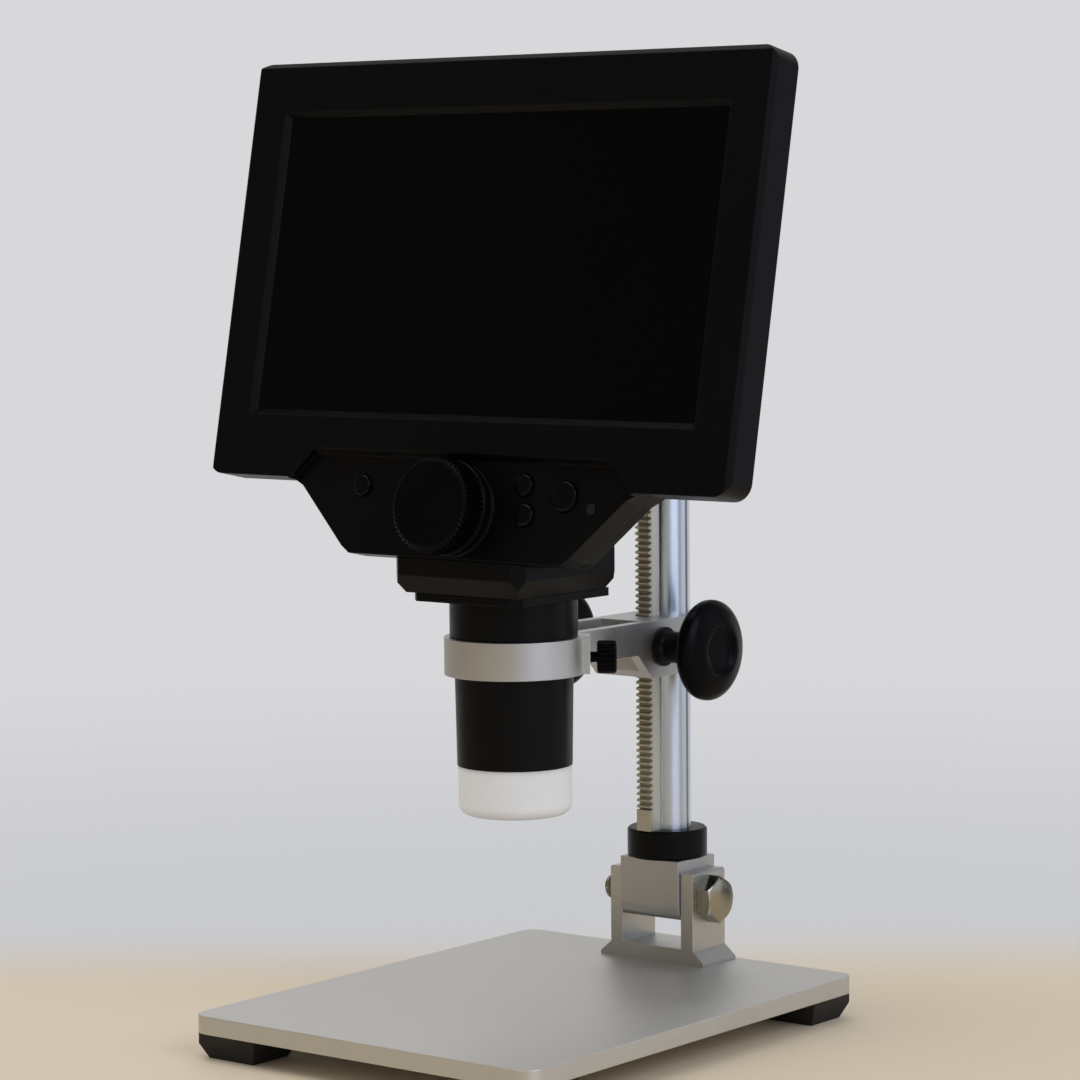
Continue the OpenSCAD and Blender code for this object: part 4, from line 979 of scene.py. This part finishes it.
@dataclass
class Studio:
    """Pale floor, soft lamps, pale surroundings and the camera.

    Lengths are in metres, but for the lens and its sensor. Azimuths are counted from towards, the level
    direction to the front right, by way of sideways. The floor turns into the sweep over fade_behind, which
    is measured to the back, and over fade_around, all round. The sweep's tone turns from low to high over
    fade_up. The ring's light falls to a half between the heights in ring_dims. Sight holds the camera's
    nearest and farthest distance.
    """

    floor_near: str = "#E1D1B7"
    floor_rough: float = 0.7
    floor_reach: float = 6.0
    backdrop: str = "#D8D8DB"
    backdrop_low: str = "#C9CACE"
    fill: str = "#E4E4E6"
    fill_strength: float = 0.7
    eye: Vec3 = (0.6339, -0.8029, 0.2294)
    aim: Vec3 = (0.0, 0.0, 0.12)
    yaw_deg: float = 38.11
    pitch_deg: float = 5.036
    roll_deg: float = -0.505
    lens_mm: float = 123.98
    sensor_mm: float = 36.0
    sight: tuple[float, float] = (0.05, 50.0)
    towards: Vec3 = (0.617, -0.787, 0.0)
    sideways: Vec3 = (0.787, 0.617, 0.0)
    fade_behind: tuple[float, float] = (0.06, 0.17)
    fade_around: tuple[float, float] = (0.5, 1.0)
    fade_up: tuple[float, float] = (0.15, 0.9)
    ring_tones: tuple[tuple[float, str], ...] = (  # azimuth in degrees, tone
        (-180, "#B3B3B4"), (-130, "#969491"), (-105, "#7E776D"), (-76, "#676056"), (-50, "#878077"),
        (-20, "#8C8A83"), (8, "#969B9B"), (20, "#A7AFB6"), (30, "#C8D2EA"), (58, "#CAD5EB"), (67, "#8692A0"),
        (75, "#8E99A8"), (84, "#C2C8D4"), (103, "#C4CAD6"), (111, "#4E5056"), (121, "#4E5056"),
        (130, "#BBBBBD"), (180, "#ACACAD"),
    )
    ring_strength: float = 1.5
    ring_dims: tuple[float, float] = (0.05, 0.8)

    def camera(self) -> None:
        """Set the camera from its eye, yaw to the left, pitch down and roll."""
        yaw, pitch, roll = (math.radians(v) for v in (self.yaw_deg, self.pitch_deg, self.roll_deg))
        level = math.cos(pitch)
        ahead = np.array([-math.sin(yaw) * level, math.cos(yaw) * level, -math.sin(pitch)])
        right = np.array([math.cos(yaw), math.sin(yaw), 0.0])
        up = np.cross(right, ahead)
        right, up = (
            right * math.cos(roll) + up * math.sin(roll),
            up * math.cos(roll) - right * math.sin(roll),
        )
        data = bpy.data.cameras.new("camera")
        data.lens, data.sensor_width = self.lens_mm, self.sensor_mm
        data.clip_start, data.clip_end = self.sight
        cam = bpy.data.objects.new("camera", data)
        stand_at(cam, right, up, -ahead, self.eye)
        bpy.context.scene.camera = cam

    @staticmethod
    def along(tree: bpy.types.NodeTree, point: bpy.types.NodeSocket, way: Vec3) -> bpy.types.NodeSocket:
        """How far a point lies along a way from the origin."""
        product = add(tree, "ShaderNodeVectorMath", {"operation": "DOT_PRODUCT", 1: way}, {0: point})
        return product.outputs["Value"]

    def ring(self, tree: bpy.types.NodeTree, direction: bpy.types.NodeSocket) -> bpy.types.NodeSocket:
        """Tone of the surroundings at the azimuth of a direction, as reflections see it.

        The azimuth is counted from the front right towards the back right, from -180 to 180 degrees, and it
        looks up a ramp: a warm dim room in front and on the left, a cool window with dark bars on the right,
        and a white sweep behind.

        Args:
            tree: The material's or world's nodes.
            direction: Socket with the direction, or a point seen from the object.

        Returns:
            The colour socket.
        """
        across = self.along(tree, direction, self.sideways)
        ahead = self.along(tree, direction, self.towards)
        turn = ramp(tree, maths(tree, "ARCTAN2", across, ahead), (-math.pi, math.pi))
        tones = add(tree, "ShaderNodeValToRGB", None, {0: turn})
        tones.color_ramp.interpolation = "EASE"
        elements = tones.color_ramp.elements
        for degrees, tone in self.ring_tones:
            at = (degrees + 180.0) / 360.0
            element = elements[0] if at == 0.0 else elements[-1] if at == 1.0 else elements.new(at)
            element.color = linear(tone)
        return tones.outputs[0]

    def floor(self) -> None:
        """Lay a wide floor that turns into a glowing sweep away from the object.

        The eye sees the backdrop's colours there, and reflections see the ring's tones.
        """
        mesh = bpy.data.meshes.new("floor")
        r = self.floor_reach
        mesh.from_pydata([(-r, -r, 0), (r, -r, 0), (r, r, 0), (-r, r, 0)], [], [(0, 1, 2, 3)])
        obj = bpy.data.objects.new("floor", mesh)
        bpy.context.scene.collection.objects.link(obj)
        material = bpy.data.materials.new("pale_floor")
        tree = blank(material)
        coords = add(tree, "ShaderNodeTexCoord").outputs["Object"]
        away = self.along(tree, coords, tuple(-v for v in self.towards))
        around = add(tree, "ShaderNodeVectorMath", {"operation": "LENGTH"}, {0: coords}).outputs["Value"]
        behind = ramp(tree, away, self.fade_behind, course="SMOOTHSTEP")
        wide = ramp(tree, around, self.fade_around, course="SMOOTHSTEP")
        rise = ramp(tree, around, self.fade_up, course="SMOOTHSTEP")
        blend = maths(tree, "MAXIMUM", behind, wide)
        sweep = {"data_type": "RGBA", 6: linear(self.backdrop_low), 7: linear(self.backdrop)}
        shade = add(tree, "ShaderNodeMix", sweep, {0: rise}).outputs[2]
        matt = {"Base Color": linear(self.floor_near), "Roughness": self.floor_rough}
        near = add(tree, "ShaderNodeBsdfPrincipled", matt)
        glossy = add(tree, "ShaderNodeLightPath").outputs["Is Glossy Ray"]
        seen = {0: glossy, 6: shade, 7: self.ring(tree, coords)}
        tone = add(tree, "ShaderNodeMix", {"data_type": "RGBA"}, seen)
        power = ramp(tree, glossy, (0.0, 1.0), (1.0, self.ring_strength))
        glow = add(tree, "ShaderNodeEmission", None, {"Color": tone.outputs[2], "Strength": power})
        mixed = add(tree, "ShaderNodeMixShader", None, {0: blend, 1: near.outputs[0], 2: glow.outputs[0]})
        add(tree, "ShaderNodeOutputMaterial", None, {"Surface": mixed.outputs[0]})
        obj.data.materials.append(material)

    def world(self) -> None:
        """Surroundings: plain for the eye, soft for the light they give, a ring of tones for reflections."""
        world = bpy.data.worlds.new("surroundings")
        bpy.context.scene.world = world
        tree = blank(world)
        path = add(tree, "ShaderNodeLightPath").outputs
        seen = maths(tree, "MAXIMUM", path["Is Camera Ray"], path["Is Transmission Ray"])
        direction = add(tree, "ShaderNodeTexCoord").outputs["Generated"]
        height = add(tree, "ShaderNodeSeparateXYZ", None, {0: direction}).outputs[2]
        strength = ramp(tree, height, self.ring_dims, (self.ring_strength, 0.5 * self.ring_strength))
        tone = self.ring(tree, direction)
        mirror = add(tree, "ShaderNodeBackground", None, {"Color": tone, "Strength": strength})
        soft = {"Color": linear(self.fill), "Strength": self.fill_strength}
        plain = add(tree, "ShaderNodeBackground", soft)
        shown = add(tree, "ShaderNodeBackground", {"Color": linear(self.backdrop), "Strength": 1.0})
        sides = {0: path["Is Glossy Ray"], 1: plain.outputs[0], 2: mirror.outputs[0]}
        inner = add(tree, "ShaderNodeMixShader", None, sides)
        outer = add(tree, "ShaderNodeMixShader", None, {0: seen, 1: inner.outputs[0], 2: shown.outputs[0]})
        add(tree, "ShaderNodeOutputWorld", None, {"Surface": outer.outputs[0]})

    def lamp(self, name: str, at: Vec3, size: float, watts: float, color: str) -> None:
        """Hang a square lamp that faces the object's middle.

        Args:
            name: The lamp's name.
            at: Its place in metres.
            size: Its side in metres.
            watts: Its power.
            color: Its colour.
        """
        data = bpy.data.lights.new(name, "AREA")
        data.size, data.energy, data.color = size, watts, linear(color)[:3]
        obj = bpy.data.objects.new(name, data)
        away = np.asarray(at) - np.asarray(self.aim)
        away = away / np.linalg.norm(away)
        side = np.cross([0.0, 0.0, 1.0], away)
        side = side / np.linalg.norm(side)
        stand_at(obj, side, np.cross(away, side), away, at)

    def build(self) -> None:
        """Make the floor, the lamps, the surroundings and the camera."""
        self.camera()
        self.floor()
        self.world()
        self.lamp("key", (-0.35, -0.45, 1.95), 1.6, 13.0, "#FFFDF8")
        self.lamp("side", (1.5, -0.2, 1.0), 1.0, 8.5, "#E2EAFF")
        self.lamp("back", (-1.1, 1.15, 1.2), 1.0, 1.6, "#FFFFFF")
        bpy.context.scene.view_settings.view_transform = "Standard"


def main() -> None:
    """Build the object's sub-assemblies in order, then the studio."""
    logging.basicConfig(level=logging.INFO, format="%(name)s: %(message)s")
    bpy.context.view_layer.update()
    stand = (Base(), HingeBracket(), Post(), Carriage(), Drive(), ClampScrew())
    for part in (*stand, Barrel(), Neck(), Head(), Controls()):
        part.build()
        LOG.info("%s is built", type(part).__name__)
    Studio().build()


if __name__ == "__main__":
    main()
